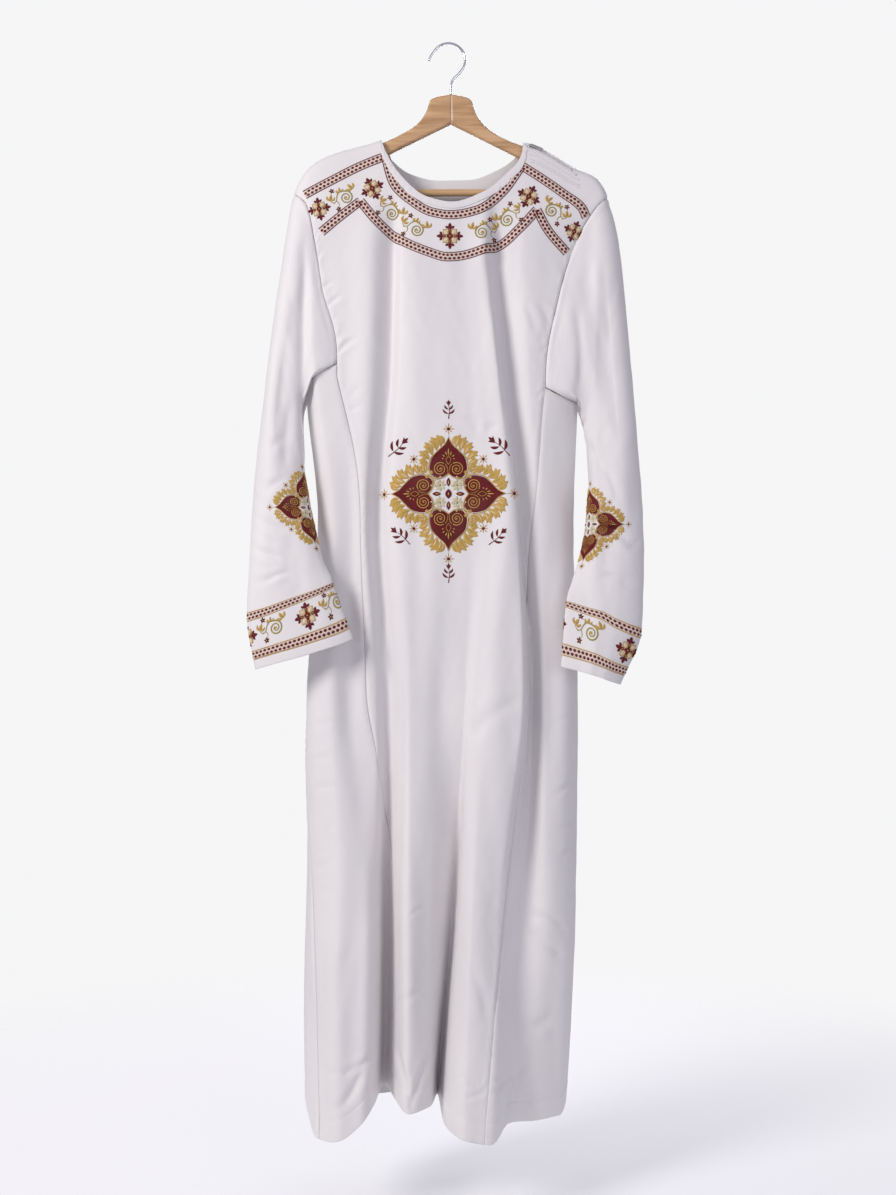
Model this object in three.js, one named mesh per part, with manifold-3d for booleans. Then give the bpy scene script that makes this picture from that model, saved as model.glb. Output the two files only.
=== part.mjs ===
// A coptic deacon's tunic hanging on a wooden hanger with a wire hook.
// Millimetres, +Z up. The origin is the inner top of the hook, where it bears on a rail. The tunic faces -Y,
// so the wearer's right side is at -X.
//
// Cloth is a wall made from a grid of outer points: the points move in along their normals for the inside, and
// the rims are closed. The body's cross-section at a height runs once round through the fold lines of the two
// tables below, as a smooth curve. Front, back and the two side gores are stretches of that one curve. Each
// sleeve is a tube through its own lines, and its first ring is the armhole that the other pieces leave.

import * as THREE from 'three';
import { mergeVertices } from 'three/addons/utils/BufferGeometryUtils.js';
import Module from 'manifold-3d';

// ---- driving dimensions ----------------------------------------------------------------------------------

const WALL = 1.5;                 // cloth
const SEAM_GAP = 0.3;             // between pieces that are sewn together
const LAY_GAP = 0.3;              // between a piece and what it lies on

const HOOK_BEND = 25;             // radius of the hook's bow, to the middle of its wire
const HOOK_WIRE = 2;              // radius of the wire
const BOW_ANGLES = { from: 150, to: -30 };
const STEM_X = 4;                 // the stem and the joint between the hanger's two arms
const CROWN_Z = -74;              // top of the wood under the stem
// The wire beyond its bow, as x and z: the tip's flare, and the way down to the stem's foot.
const HOOK_TIP = [[-29, -23], [-25, -15]];
const HOOK_SHANK = [[15, -44], [6, -54], [STEM_X, -62], [STEM_X, CROWN_Z + LAY_GAP]];

const ARM_HALF = 5.9;             // half the thickness of an arm of the hanger
const ARM_END = 0.6;              // share of that at the arm's end
const ARM_SIDES = 12;             // of the round top and bottom of its section
const UNDER_CLOTH = WALL + 1.3;   // from the cloth's outside down to the wood
// The arms' tops up to the neck's corners, as x and z, and their undersides. Beyond, the cloth rests on them.
const ARM_TOPS = {
  right: [[STEM_X, CROWN_Z], [-27, -82.5], [-32, -97], [-43, -115], [-73, -135.5], [-90, -143.5],
    [-101, -148.2]],
  left: [[STEM_X, CROWN_Z], [34, -82.5], [39, -97.6], [45, -110], [62, -128], [87, -142.5], [102, -148.5],
    [112, -152.2]],
};
const ARM_BOTTOMS = {
  right: { x: [STEM_X, -86, -150, -190, -219], z: [-120, -164, -196, -231, -233] },
  left: { x: [STEM_X, 106, 165, 195, 226], z: [-120, -171, -201, -231, -233] },
};
const BAR = { radius: 5.3, sides: 16, z: -222, from: -168, to: 172 };   // trouser bar
const TENON = { radius: 4, length: 28, socket: 0.3 };                    // its two ends, in the arms

const SHOULDER_ROUND = 10.5;      // radius of the fold over the shoulder
const FRONT_EASE = { reach: 20, over: 70 };   // how far the cloth moves out below the shoulder, and how fast
const BACK_EASE = { reach: 15, over: 80 };
const YOKE_ENDS = { from: -215, to: -330 };   // heights between which the folds take over from the shoulders

const TRIM_WALL = 0.9;            // neck band and zip tape
const NECK_BAND_ROWS = [0, 1, 2, 3];       // rows of a panel's grid that the band covers: 10 mm
const ZIP_ROWS = [2, 2.5, 3];              // and those that the zip covers, just in front of the shoulder's fold
const ZIP_COLUMNS = [0.08, 0.5, 1, 1.6, 2.2, 2.8];   // columns out from the neck's corner
const SLIDER = { length: 11, width: 7, height: 3, at: 0.3 };
const PULL = { length: 20, width: 5, height: 1.2, hinge: 3.5, hole: { inset: 4, radius: 1.4 } };
const PLATE_CORNER = 0.35;        // radius of a plate's corners, as a share of its width

// ---- the body's folds: a row for each fold line, across the body from the wearer's right ------------------
// Each pair is x and y, at the heights in LEVELS. The last triple is where the line meets the hem: x, y and z.

const LEVELS = { chest: -334, underarm: -501, waist: -715, thigh: -966, knee: -1276 };

const FRONT_FOLDS = {
  //                 chest        underarm     waist        thigh        knee         hem
  right_edge:       [[-214, 0],   [-214, 0],   [-196, 2],   [-211, 6],   [-215, 12],  [-217, 14, -1585]],
  right_gore_side:  [[-209, -10], [-206, -12], [-188, -16], [-197, -24], [-193, -36], [-193, -50, -1622]],
  right_gore_crest: [[-198, -18], [-194, -22], [-168, -28], [-172, -38], [-155, -62], [-155, -88, -1613]],
  right_gore_inner: [[-155, -24], [-155, -23], [-146, -26], [-143, -28], [-123, -60], [-128, -84, -1593]],
  right_pipe:       [[-115, -31], [-119, -31], [-125, -32], [-110, -32], [-104, -42], [-110, -60, -1572]],
  right_valley:     [[-83, -14],  [-89, -12],  [-107, -13], [-92, -18],  [-92, -2],   [-97, 12, -1563]],
  centre_edge:      [[-69, -27],  [-72, -27],  [-88, -28],  [-70, -36],  [-76, -38],  [-80, -42, -1566]],
  centre_crest:     [[-42, -32],  [-45, -33],  [-54, -36],  [-55, -46],  [-57, -68],  [-57, -84, -1576]],
  centre_fall:      [[-1, -32],   [2, -33],    [-1, -38],   [-7, -37],   [-27, -52],  [-28, -60, -1572]],
  centre_valley:    [[20, -31],   [29, -33],   [32, -37],   [23, -38],   [7, -8],     [-17, 4, -1575]],
  lobe_edge:        [[36, -33],   [49, -36],   [61, -42],   [37, -50],   [17, -50],   [-7, -64, -1597]],
  lobe_crest:       [[52, -37],   [71, -42],   [87, -48],   [64, -58],   [37, -72],   [25, -104, -1608]],
  lobe_outer:       [[58, -33],   [77, -38],   [100, -44],  [108, -54],  [72, -64],   [62, -100, -1615]],
  left_valley:      [[74, -12],   [89, -12],   [108, -12],  [124, -4],   [112, -26],  [87, -54, -1599]],
  left_pipe:        [[113, -28],  [121, -27],  [137, -24],  [143, -28],  [142, -38],  [118, -28, -1605]],
  left_gore_flat:   [[151, -22],  [148, -24],  [160, -20],  [166, -24],  [168, -30],  [148, -22, -1603]],
  left_gore_side:   [[185, -12],  [180, -13],  [176, -12],  [184, -14],  [186, -14],  [168, -8, -1603]],
  left_edge:        [[208, 0],    [196, 0],    [188, 2],    [195, 4],    [193, 8],    [177, 10, -1583]],
};

const BACK_FOLDS = {
  //                   chest        underarm     waist        thigh        knee         hem
  back_left_side:     [[190, 12],   [183, 13],   [174, 18],   [182, 22],   [182, 30],   [170, 36, -1595]],
  back_left_crest:    [[160, 24],   [158, 26],   [150, 36],   [146, 46],   [140, 66],   [138, 84, -1602]],
  back_left_valley:   [[110, 22],   [108, 24],   [104, 26],   [100, 28],   [96, 32],    [94, 38, -1585]],
  back_left_lobe:     [[62, 30],    [62, 32],    [56, 42],    [50, 56],    [46, 82],    [44, 102, -1600]],
  back_centre_valley: [[4, 26],     [4, 28],     [2, 30],     [-2, 34],    [-4, 38],    [-6, 44, -1582]],
  back_right_lobe:    [[-54, 30],   [-54, 32],   [-54, 42],   [-54, 54],   [-56, 80],   [-56, 100, -1600]],
  back_right_valley:  [[-104, 22],  [-104, 24],  [-104, 26],  [-102, 30],  [-102, 36],  [-102, 44, -1586]],
  back_right_crest:   [[-156, 24],  [-156, 26],  [-150, 36],  [-150, 48],  [-152, 68],  [-150, 86, -1602]],
  back_right_side:    [[-201, 12],  [-202, 13],  [-186, 18],  [-200, 24],  [-200, 36],  [-198, 46, -1598]],
};

// Where the four long seams run, counted in fold lines from right_edge = 0, at the underarm, waist, thigh, knee
// and hem. Lines of the back follow on from the front's, and a number past the last line goes round again.
const LONG_SEAMS = {
  front_right: [2.75, 3.7, 3.6, 5.7, 5.9],
  front_left:  [14.95, 13.6, 12.5, 12.3, 11.7],
  back_left:   [19.15, 18.8, 18.3, 18.0, 17.9],
  back_right:  [25.0, 25.6, 26.4, 27.7, 28.1],
};

// ---- shoulders and neck: x and z along each line ----------------------------------------------------------

const SHOULDER = {
  right: { x: [-232, -225, -208, -172, -119, -101], z: [-226, -208, -184, -164, -149.5, -143.5] },
  left: { x: [112, 124, 155, 185, 221, 234, 239], z: [-147.5, -150, -166, -184, -200, -217, -230] },
};
const FRONT_NECK = {
  x: [-101, -94, -72, -32, 5, 49, 89, 109, 112],
  z: [-143.5, -163.5, -200, -234, -242, -228, -196, -168, -147.5],
};
const BACK_NECK = {
  x: [-101, -88, -56, -16, 32, 73, 101, 112],
  z: [-143.5, -166, -190, -199, -198, -184, -165, -147.5],
};

// ---- sleeves: a row for each line down the sleeve, from the shoulder tip round the front to the underarm ---
// Each triple is x, y and z, at eight stations: the armhole, six down the arm and the cuff's hem. The second
// last is the top of the cuff band. Lines of the back are the front's, turned about the sleeve's middle.

const SLEEVE_LINES = {
  right: {
    outer:        [[-232, 0, -226], [-241, -2, -282], [-257, -6, -392], [-272, -14, -517],
                   [-284, -30, -641], [-291, -44, -762], [-294, -52, -851], [-281, -58, -934]],
    front_outer:  [[-212, -14, -244], [-230, -21, -340], [-245, -28, -440], [-259, -38, -550],
                   [-266, -52, -663], [-271, -60, -775], [-266, -64, -843], [-251, -68, -925]],
    front_mid:    [[-200, -17, -297], [-217, -20, -393], [-231, -27, -484], [-243, -38, -579],
                   [-247, -56, -682], [-244, -64, -783], [-235, -68, -832], [-217, -72, -916]],
    front_inner:  [[-184, -21, -395], [-203, -27, -447], [-220, -24, -532], [-225, -36, -615],
                   [-219, -54, -706], [-209, -64, -791], [-200, -68, -820], [-178, -72, -904]],
    front_corner: [[-167, -22, -481], [-197, -29, -493], [-218, -19, -565], [-217, -32, -635],
                   [-204, -48, -723], [-188, -60, -794], [-182, -64, -813], [-156, -68, -897]],
    inner:        [[-214, 0, -505], [-229, -2, -520], [-222, -8, -585], [-215, -22, -649],
                   [-197, -40, -737], [-175, -52, -795], [-171, -56, -808], [-141, -60, -890]],
  },
  left: {
    outer:        [[239, 0, -230], [253, -2, -294], [263, -6, -384], [272, -14, -505],
                   [281, -30, -633], [286, -44, -759], [282, -50, -874], [250, -56, -956]],
    front_outer:  [[221, -14, -247], [239, -21, -340], [245, -26, -433], [253, -36, -541],
                   [262, -50, -657], [267, -58, -769], [262, -62, -867], [234, -66, -951]],
    front_mid:    [[191, -18, -297], [222, -20, -385], [230, -26, -479], [236, -36, -573],
                   [242, -54, -678], [246, -62, -779], [241, -66, -858], [222, -70, -946]],
    front_inner:  [[160, -22, -402], [199, -27, -446], [214, -24, -520], [221, -34, -600],
                   [225, -52, -697], [226, -62, -789], [224, -66, -849], [209, -70, -942]],
    front_corner: [[146, -22, -517], [182, -29, -522], [203, -19, -575], [214, -30, -636],
                   [213, -46, -715], [204, -56, -798], [202, -60, -843], [192, -64, -937]],
    inner:        [[196, 0, -535], [211, -2, -550], [209, -8, -602], [210, -20, -650],
                   [204, -34, -722], [183, -46, -804], [174, -52, -834], [166, -56, -931]],
  },
};
const SLEEVE_BACK = [1, 1, 0.85, 0.6, 0.6, 0.7, 0.7, 0.7];   // fullness of the back, against the front
const SLEEVE_ROWS = 16;
const SWELL_ROWS = 1;             // rows over which its wall moves outside its lines
const ARMHOLE_FADE = 1.6;         // stations over which the sleeve leaves the armhole's exact shape
const SLEEVE_TURN = { front_corner: 4, whole: 10 };   // lines counted round the sleeve from outer = 0

// ---- how fine the cloth's grids are ------------------------------------------------------------------------

const SHOULDER_STEPS = 6;         // columns on each shoulder
const FRONT_NECK_STEPS = 22;
const BACK_NECK_STEPS = 16;
const GORE_STEPS = 12;
const TIP_CROWDING = 0.5;         // how much closer the columns stand at the shoulder's tip
const CORNER_CROWDING = 0.4;      // and at the neck's corners
const TOP_DROPS = [0, 1.5, 4.5, 10, 24];   // rows close under the shoulder, so that its fold is round
const ARMHOLE_ROWS = 7;           // further rows, down to the underarm
const UPPER_ROWS = TOP_DROPS.length + ARMHOLE_ROWS;
const SKIRT_ROWS = 15;            // from the underarm to the hem
const NECK_LEAN = 1;              // how far the columns under the neck's edge lean away from it
const NECK_LEAN_REACH = 70;       // and how far along the shoulders they still do
const PANEL_CUTS = [UPPER_ROWS - 1, UPPER_ROWS + 7];   // rows where a panel's solid parts from the next
const SLEEVE_CUTS = [9];          // and where a sleeve's does
const NECK_COLUMNS = { right: 0.2, left: 0.897 };   // share of the front's width where the neck's corners hang
const BACK_NECK_COLUMNS = { right: 0.22, left: 0.78 };

// ---- smooth curves -----------------------------------------------------------------------------------------

const lerp = (a, b, t) => a + (b - a) * t;
const clamp = (t, lo = 0, hi = 1) => Math.min(hi, Math.max(lo, t));
const smooth = (t) => { const c = clamp(t); return c * c * (3 - 2 * c); };
const range = (count) => Array.from({ length: count }, (_, k) => k);

// A curve through knots, cubic between them, that never swings past a knot's value.
function curve(knots, values) {
  const up = knots[1] > knots[0];
  const ks = up ? knots : [...knots].reverse();
  const vs = up ? values : [...values].reverse();
  const n = ks.length;
  const slope = range(n - 1).map((i) => (vs[i + 1] - vs[i]) / (ks[i + 1] - ks[i]));
  const tangent = range(n).map((i) => {
    if (i === 0) return slope[0];
    if (i === n - 1) return slope[n - 2];
    if (slope[i - 1] * slope[i] <= 0) return 0;
    const before = ks[i] - ks[i - 1];
    const after = ks[i + 1] - ks[i];
    const w1 = 2 * after + before;
    const w2 = after + 2 * before;
    return (w1 + w2) / (w1 / slope[i - 1] + w2 / slope[i]);
  });
  return (k) => {
    const at = clamp(k, ks[0], ks[n - 1]);
    let i = 0;
    while (i < n - 2 && at > ks[i + 1]) i += 1;
    const h = ks[i + 1] - ks[i];
    const t = (at - ks[i]) / h;
    const a = vs[i] * (1 + 2 * t) * (1 - t) ** 2 + vs[i + 1] * t * t * (3 - 2 * t);
    return a + h * (tangent[i] * t * (1 - t) ** 2 - tangent[i + 1] * t * t * (1 - t));
  };
}

// The same through values that close on themselves, one a step apart.
function loopCurve(values) {
  const n = values.length;
  const margin = 3;
  const steps = range(n + 2 * margin + 1);
  const inner = curve(steps, steps.map((k) => values[(k - margin + n) % n]));
  return (k) => inner(((k % n) + n) % n + margin);
}

// ---- the body's cross-section ------------------------------------------------------------------------------

const FOLDS = [...Object.values(FRONT_FOLDS), ...Object.values(BACK_FOLDS)].map((row) => {
  const heights = [...Object.values(LEVELS), row[5][2]];
  return { x: curve(heights, row.map((p) => p[0])), y: curve(heights, row.map((p) => p[1])), hem: row[5][2] };
});
const LAST_FRONT = Object.keys(FRONT_FOLDS).length - 1;
const hemHeight = loopCurve(FOLDS.map((fold) => fold.hem));

function section(z) {
  const x = loopCurve(FOLDS.map((fold) => fold.x(z)));
  const y = loopCurve(FOLDS.map((fold) => fold.y(z)));
  return { x, y, at: (line) => new THREE.Vector3(x(line), y(line), z) };
}

const MEAN_HEM = -1595;
const seamAt = Object.fromEntries(Object.entries(LONG_SEAMS).map(([name, lines]) => {
  const heights = [LEVELS.underarm, LEVELS.waist, LEVELS.thigh, LEVELS.knee, MEAN_HEM];
  return [name, curve(heights, lines)];
}));

// The fold line's number where the section crosses x, between two lines, found by halving.
function lineAtX(across, x, from, to) {
  let [a, b] = [from, to];
  const rises = across.x(to) > across.x(from);
  for (let halving = 0; halving < 24; halving += 1) {
    const middle = (a + b) / 2;
    if ((across.x(middle) < x) === rises) a = middle;
    else b = middle;
  }
  return (a + b) / 2;
}

// ---- shoulders ---------------------------------------------------------------------------------------------

const ridge = curve([...SHOULDER.right.x, ...SHOULDER.left.x], [...SHOULDER.right.z, ...SHOULDER.left.z]);

// How far the cloth stands out from the middle plane at a depth below the shoulder: round over the top, then
// easing out.
function yokeReach(x, z, ease) {
  const depth = Math.max(0, ridge(x) - z);
  const steep = (ridge(x + 1) - ridge(x - 1)) / 2;
  const under = Math.min(SHOULDER_ROUND, depth / Math.hypot(1, steep));
  const round = Math.sqrt(SHOULDER_ROUND ** 2 - (SHOULDER_ROUND - under) ** 2);
  return round + ease.reach * (1 - Math.exp(-depth / ease.over));
}

// Where the cloth's columns cross the shoulder, from its tip to the neck's corner.
function shoulderColumns(side) {
  const [tip, neck] = side === 'right'
    ? [SHOULDER.right.x[0], SHOULDER.right.x.at(-1)]
    : [SHOULDER.left.x.at(-1), SHOULDER.left.x[0]];
  return range(SHOULDER_STEPS + 1).map((k) => {
    const t = k / SHOULDER_STEPS;
    return lerp(tip, neck, lerp(t, t * t, TIP_CROWDING));
  });
}

// The front (sign -1) or back (sign 1) above the underarm, as a depth over x and z.
function upperY(x, z, sign) {
  const across = section(z);
  const line = lineAtX(across, x, ...(sign < 0 ? [0, LAST_FRONT] : [FOLDS.length, LAST_FRONT]));
  const folded = smooth((z - YOKE_ENDS.from) / (YOKE_ENDS.to - YOKE_ENDS.from));
  return lerp(sign * yokeReach(x, z, sign < 0 ? FRONT_EASE : BACK_EASE), across.y(line), folded);
}

// The way out of the cloth there. At the shoulder's fold it points up.
function upperNormal({ x, z }, sign) {
  const step = 0.5;
  const [right, left] = [upperY(x - step, z, sign), upperY(x + step, z, sign)];
  const [under, over] = [upperY(x, z - step, sign), upperY(x, z + step, sign)];
  return new THREE.Vector3((right - left) * sign, 2 * step * sign, (under - over) * sign).normalize();
}

function armhole(side) {
  const lines = SLEEVE_LINES[side];
  const points = ['outer', 'front_outer', 'front_mid', 'front_inner', 'front_corner'].map((name) => lines[name][0]);
  const heights = points.map((p) => p[2]);
  return {
    top: heights[0],
    bottom: heights[4],
    x: curve(heights, points.map((p) => p[0])),
    turn: curve(heights, [0, 1, 2, 3, 4]),
  };
}
const ARMHOLE = { right: armhole('right'), left: armhole('left') };

// ---- cloth grids -------------------------------------------------------------------------------------------
// A grid is points[column][row]. flip says that its columns and rows run clockwise seen from outside.

// Where the columns leave the neck's edge: spaced along its length, and closer at its two steep corners.
function neckColumns(neck, neckLine, steps) {
  const samples = 200;
  const xs = range(samples + 1).map((k) => lerp(neck.x[0], neck.x.at(-1), k / samples));
  const runs = [0];
  xs.slice(1).forEach((x, k) => runs.push(runs[k] + Math.hypot(x - xs[k], neckLine(x) - neckLine(xs[k]))));
  const xAtRun = curve(runs, xs);
  return range(steps - 1).map((k) => {
    const t = (k + 1) / steps;
    return xAtRun(runs.at(-1) * lerp(t, smooth(t), CORNER_CROWDING));
  });
}

// Front or back: the shoulder and armhole rows first, then the skirt rows along the fold lines.
function panel({ neck, neckSteps, corners, seams, sign, flip }) {
  const neckLine = curve(neck.x, neck.z);
  const shoulders = { right: shoulderColumns('right'), left: shoulderColumns('left').reverse() };
  const leanAt = (x, corner) => NECK_LEAN * smooth(1 - Math.abs(x - corner) / NECK_LEAN_REACH);
  const columns = [
    ...shoulders.right.map((x, k) => ({
      x, z: ridge(x), lean: -leanAt(x, neck.x[0]), u: corners.right * k / SHOULDER_STEPS,
    })),
    ...neckColumns(neck, neckLine, neckSteps).map((x, k) => ({
      x,
      z: neckLine(x),
      lean: clamp((neckLine(x + 1) - neckLine(x - 1)) / 2, -NECK_LEAN, NECK_LEAN),
      u: lerp(corners.right, corners.left, (k + 1) / neckSteps),
    })),
    ...shoulders.left.map((x, k) => ({
      x, z: ridge(x), lean: leanAt(x, neck.x.at(-1)), u: lerp(corners.left, 1, k / SHOULDER_STEPS),
    })),
  ];
  const tips = [columns[0].x, columns.at(-1).x];
  const points = columns.map((column) => {
    const share = (column.x - tips[0]) / (tips[1] - tips[0]);
    const foot = lerp(ARMHOLE.right.bottom, ARMHOLE.left.bottom, share);
    const footCut = section(foot);
    const [footRight, footLeft] = [seamAt[seams.right](foot), seamAt[seams.left](foot)];
    const footShare = (footCut.x(lerp(footRight, footLeft, column.u)) - footCut.x(footRight))
      / (footCut.x(footLeft) - footCut.x(footRight));
    const upper = range(TOP_DROPS.length + ARMHOLE_ROWS).map((row) => {
      const down = clamp((row - TOP_DROPS.length + 1) / ARMHOLE_ROWS);
      const depthTo = (total) => (row < TOP_DROPS.length ? TOP_DROPS[row] : lerp(TOP_DROPS.at(-1), total, down));
      const ends = ['right', 'left'].map((side) => {
        const hole = ARMHOLE[side];
        const z = hole.top - depthTo(hole.top - hole.bottom);
        const seamX = section(hole.bottom).x(seamAt[seams[side]](hole.bottom));
        return lerp(hole.x(z), seamX, smooth(down * 2 - 1));
      });
      const z = column.z - depthTo(column.z - foot);
      const aside = column.lean * TOP_DROPS[Math.min(row, TOP_DROPS.length - 1)] * (1 - smooth(down));
      const x = lerp(ends[0], ends[1], lerp(share, footShare, smooth(down))) + aside;
      return new THREE.Vector3(x, upperY(x, z, sign), z);
    });
    const lower = range(SKIRT_ROWS).map((k) => {
      const down = (k + 1) / SKIRT_ROWS;
      const hemLine = lerp(seamAt[seams.right](MEAN_HEM), seamAt[seams.left](MEAN_HEM), column.u);
      const z = lerp(foot, hemHeight(hemLine), down);
      const line = lerp(seamAt[seams.right](z), seamAt[seams.left](z), column.u);
      return section(z).at(line);
    });
    return [...upper, ...lower];
  });
  return { points, flip, sign };
}

// A side gore: from its front seam round the body's side to its back seam, under the sleeve.
function gore(side, front, back, flip) {
  const { bottom } = ARMHOLE[side];
  const crown = SLEEVE_LINES[side].inner[0][2];
  const points = range(GORE_STEPS + 1).map((k) => {
    const u = k / GORE_STEPS;
    const wrap = side === 'right' ? FOLDS.length : 0;
    const line = (z) => lerp(seamAt[front](z) + wrap, seamAt[back](z), u);
    const top = lerp(crown, bottom, (2 * u - 1) ** 2);
    const hem = hemHeight(line(MEAN_HEM));
    return range(SKIRT_ROWS + 1).map((row) => {
      const z = lerp(top, hem, row / SKIRT_ROWS);
      return section(z).at(line(z));
    });
  });
  return { points, flip };
}

// A sleeve: a tube whose first ring is the armhole left by the front, the back and the gore.
function sleeve(side, ring, turns, flip) {
  const lines = SLEEVE_LINES[side];
  const stations = range(lines.outer.length);
  const middle = stations.map((s) => (lines.outer[s][1] + lines.inner[s][1]) / 2);
  const behind = (row) => row.map(([x, y, z], s) => [x, middle[s] + (middle[s] - y) * SLEEVE_BACK[s], z]);
  const { outer, front_outer, front_mid, front_inner, front_corner, inner } = lines;
  const backs = [front_corner, front_inner, front_mid, front_outer].map(behind);
  const around = [outer, front_outer, front_mid, front_inner, front_corner, inner, ...backs];
  const along = around.map((row) => [0, 1, 2].map((axis) => curve(stations, row.map((p) => p[axis]))));
  const shape = (turn, t) => new THREE.Vector3(...[0, 1, 2].map((axis) => (
    loopCurve(along.map((line) => line[axis](t)))(turn))));
  const points = ring.map((start, k) => {
    const off = start.clone().sub(shape(turns[k], 0));
    return range(SLEEVE_ROWS + 1).map((row) => {
      const t = (stations.length - 1) * row / SLEEVE_ROWS;
      const hold = clamp(1 - t / ARMHOLE_FADE) ** 2;
      return row === 0 ? start.clone() : shape(turns[k], t).addScaledVector(off, hold);
    });
  });
  return { points, flip, closed: true };
}

// ---- walls from grids --------------------------------------------------------------------------------------

function addNormals(grid) {
  const { points, closed, flip, sign } = grid;
  const n = points.length;
  const column = (i) => points[closed ? (i + n) % n : clamp(i, 0, n - 1)];
  grid.normals = points.map((line, i) => line.map((point, j) => {
    if (sign && j < UPPER_ROWS - 1) return upperNormal(point, sign);
    const across = column(i + 1)[j].clone().sub(column(i - 1)[j]);
    const down = line[Math.min(j + 1, line.length - 1)].clone().sub(line[Math.max(j - 1, 0)]);
    return across.cross(down).multiplyScalar(flip ? -1 : 1).normalize();
  }));
  return grid;
}

// Two edges that are sewn together share their normals and part by the seam's gap, half to each side.
function sew(a, edgeA, b, edgeB) {
  const middles = edgeA.map(([i, j], k) => {
    const [m, n] = edgeB[k];
    return {
      point: a.points[i][j].clone(),
      normal: a.normals[i][j].clone().add(b.normals[m][n]).normalize(),
    };
  });
  edgeA.forEach(([i, j], k) => {
    const before = middles[Math.max(k - 1, 0)].point;
    const after = middles[Math.min(k + 1, middles.length - 1)].point;
    const { point, normal } = middles[k];
    const part = after.clone().sub(before).cross(normal).normalize();
    const [m, n] = edgeB[k];
    const inward = neighbour(a, edgeA[k]).sub(point);
    part.multiplyScalar((inward.dot(part) < 0 ? -1 : 1) * SEAM_GAP / 2);
    a.moves.push([i, j, part]);
    b.moves.push([m, n, part.clone().negate()]);
    a.normals[i][j].copy(normal);
    b.normals[m][n].copy(normal);
  });
}

// The grid point next to an edge's, away from that edge.
function neighbour(grid, [i, j, side]) {
  const step = { right: [1, 0], left: [-1, 0], down: [0, 1] }[side];
  return grid.points[i + step[0]][j + step[1]].clone();
}

// A stretch of a long piece, from row to row. Stretches lie a seam's gap apart.
function stretch(grid, from, to) {
  const pick = (table) => table.map((line) => line.slice(from, to + 1).map((v) => v.clone()));
  const points = pick(grid.points);
  const moveIn = (end, next) => end.addScaledVector(next.clone().sub(end).normalize(), SEAM_GAP / 2);
  points.forEach((line) => {
    if (from > 0) moveIn(line[0], line[1]);
    if (to < grid.points[0].length - 1) moveIn(line.at(-1), line.at(-2));
  });
  return { ...grid, points, normals: pick(grid.normals) };
}

function wall(grid, thickness) {
  const { points, normals, closed, flip } = grid;
  const inside = points.map((line, i) => line.map((p, j) => p.clone().addScaledVector(normals[i][j], -thickness)));
  const rows = points[0].length;
  const layer = points.length * rows;
  const positions = [...points.flat(), ...inside.flat()].flatMap((p) => p.toArray());
  const triangles = [];
  const quad = (a, b, c, d) => {
    triangles.push(...(flip ? [a, c, b, a, d, c] : [a, b, c, a, c, d]));
  };
  const columns = points.length - (closed ? 0 : 1);
  for (let i = 0; i < columns; i += 1) {
    const [left, right] = [i * rows, ((i + 1) % points.length) * rows];
    for (let j = 0; j < rows - 1; j += 1) {
      quad(left + j, right + j, right + j + 1, left + j + 1);
      quad(layer + left + j, layer + left + j + 1, layer + right + j + 1, layer + right + j);
    }
    quad(right, left, layer + left, layer + right);
    quad(left + rows - 1, right + rows - 1, layer + right + rows - 1, layer + left + rows - 1);
  }
  if (!closed) {
    const last = (points.length - 1) * rows;
    for (let j = 0; j < rows - 1; j += 1) {
      quad(j + 1, layer + j + 1, layer + j, j);
      quad(last + j + 1, last + j, layer + last + j, layer + last + j + 1);
    }
  }
  const geometry = new THREE.BufferGeometry();
  geometry.setAttribute('position', new THREE.Float32BufferAttribute(positions, 3));
  geometry.setIndex(triangles);
  geometry.computeVertexNormals();
  return geometry;
}

// ---- the tunic ---------------------------------------------------------------------------------------------

const front = addNormals(panel({
  neck: FRONT_NECK, neckSteps: FRONT_NECK_STEPS, corners: NECK_COLUMNS,
  seams: { right: 'front_right', left: 'front_left' }, sign: -1, flip: true,
}));
const back = addNormals(panel({
  neck: BACK_NECK, neckSteps: BACK_NECK_STEPS, corners: BACK_NECK_COLUMNS,
  seams: { right: 'back_right', left: 'back_left' }, sign: 1, flip: false,
}));
const goreRight = addNormals(gore('right', 'front_right', 'back_right', false));
const goreLeft = addNormals(gore('left', 'front_left', 'back_left', true));

const LAST_UPPER = UPPER_ROWS - 1;
const edge = (grid, name) => {
  const lastColumn = grid.points.length - 1;
  const lastRow = grid.points[0].length - 1;
  const column = (i, side) => range(lastRow + 1).map((j) => [i, j, side]);
  return {
    right: () => column(0, 'right'),
    left: () => column(lastColumn, 'left'),
    top: () => range(lastColumn + 1).map((i) => [i, 0, 'down']),
  }[name]();
};

// The ring round an armhole: down the front, under the arm along the gore's top, and up the back.
function armholeRing(frontEdge, goreGrid, backEdge, hole) {
  const frontPoints = frontEdge.slice(0, UPPER_ROWS).map(([i, j]) => front.points[i][j]);
  const backPoints = backEdge.slice(0, UPPER_ROWS).map(([i, j]) => back.points[i][j]);
  const gorePoints = goreGrid.points.map((line) => line[0]);
  const turns = frontPoints.map((p) => hole.turn(p.z));
  const { front_corner: corner, whole } = SLEEVE_TURN;
  const under = range(GORE_STEPS - 1).map((k) => lerp(corner, whole - corner, (k + 1) / GORE_STEPS));
  return {
    ring: [...frontPoints, ...gorePoints.slice(1, -1), ...backPoints.slice(1).reverse()],
    turns: [...turns, ...under, ...turns.slice(1).reverse().map((turn) => whole - turn)],
  };
}
function makeSleeve(side, frontEdge, goreGrid, backEdge, flip) {
  const { ring, turns } = armholeRing(frontEdge, goreGrid, backEdge, ARMHOLE[side]);
  return addNormals(sleeve(side, ring, turns, flip));
}
const sleeveRight = makeSleeve('right', edge(front, 'right'), goreRight, edge(back, 'right'), true);
const sleeveLeft = makeSleeve('left', edge(front, 'left'), goreLeft, edge(back, 'left'), false);

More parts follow.
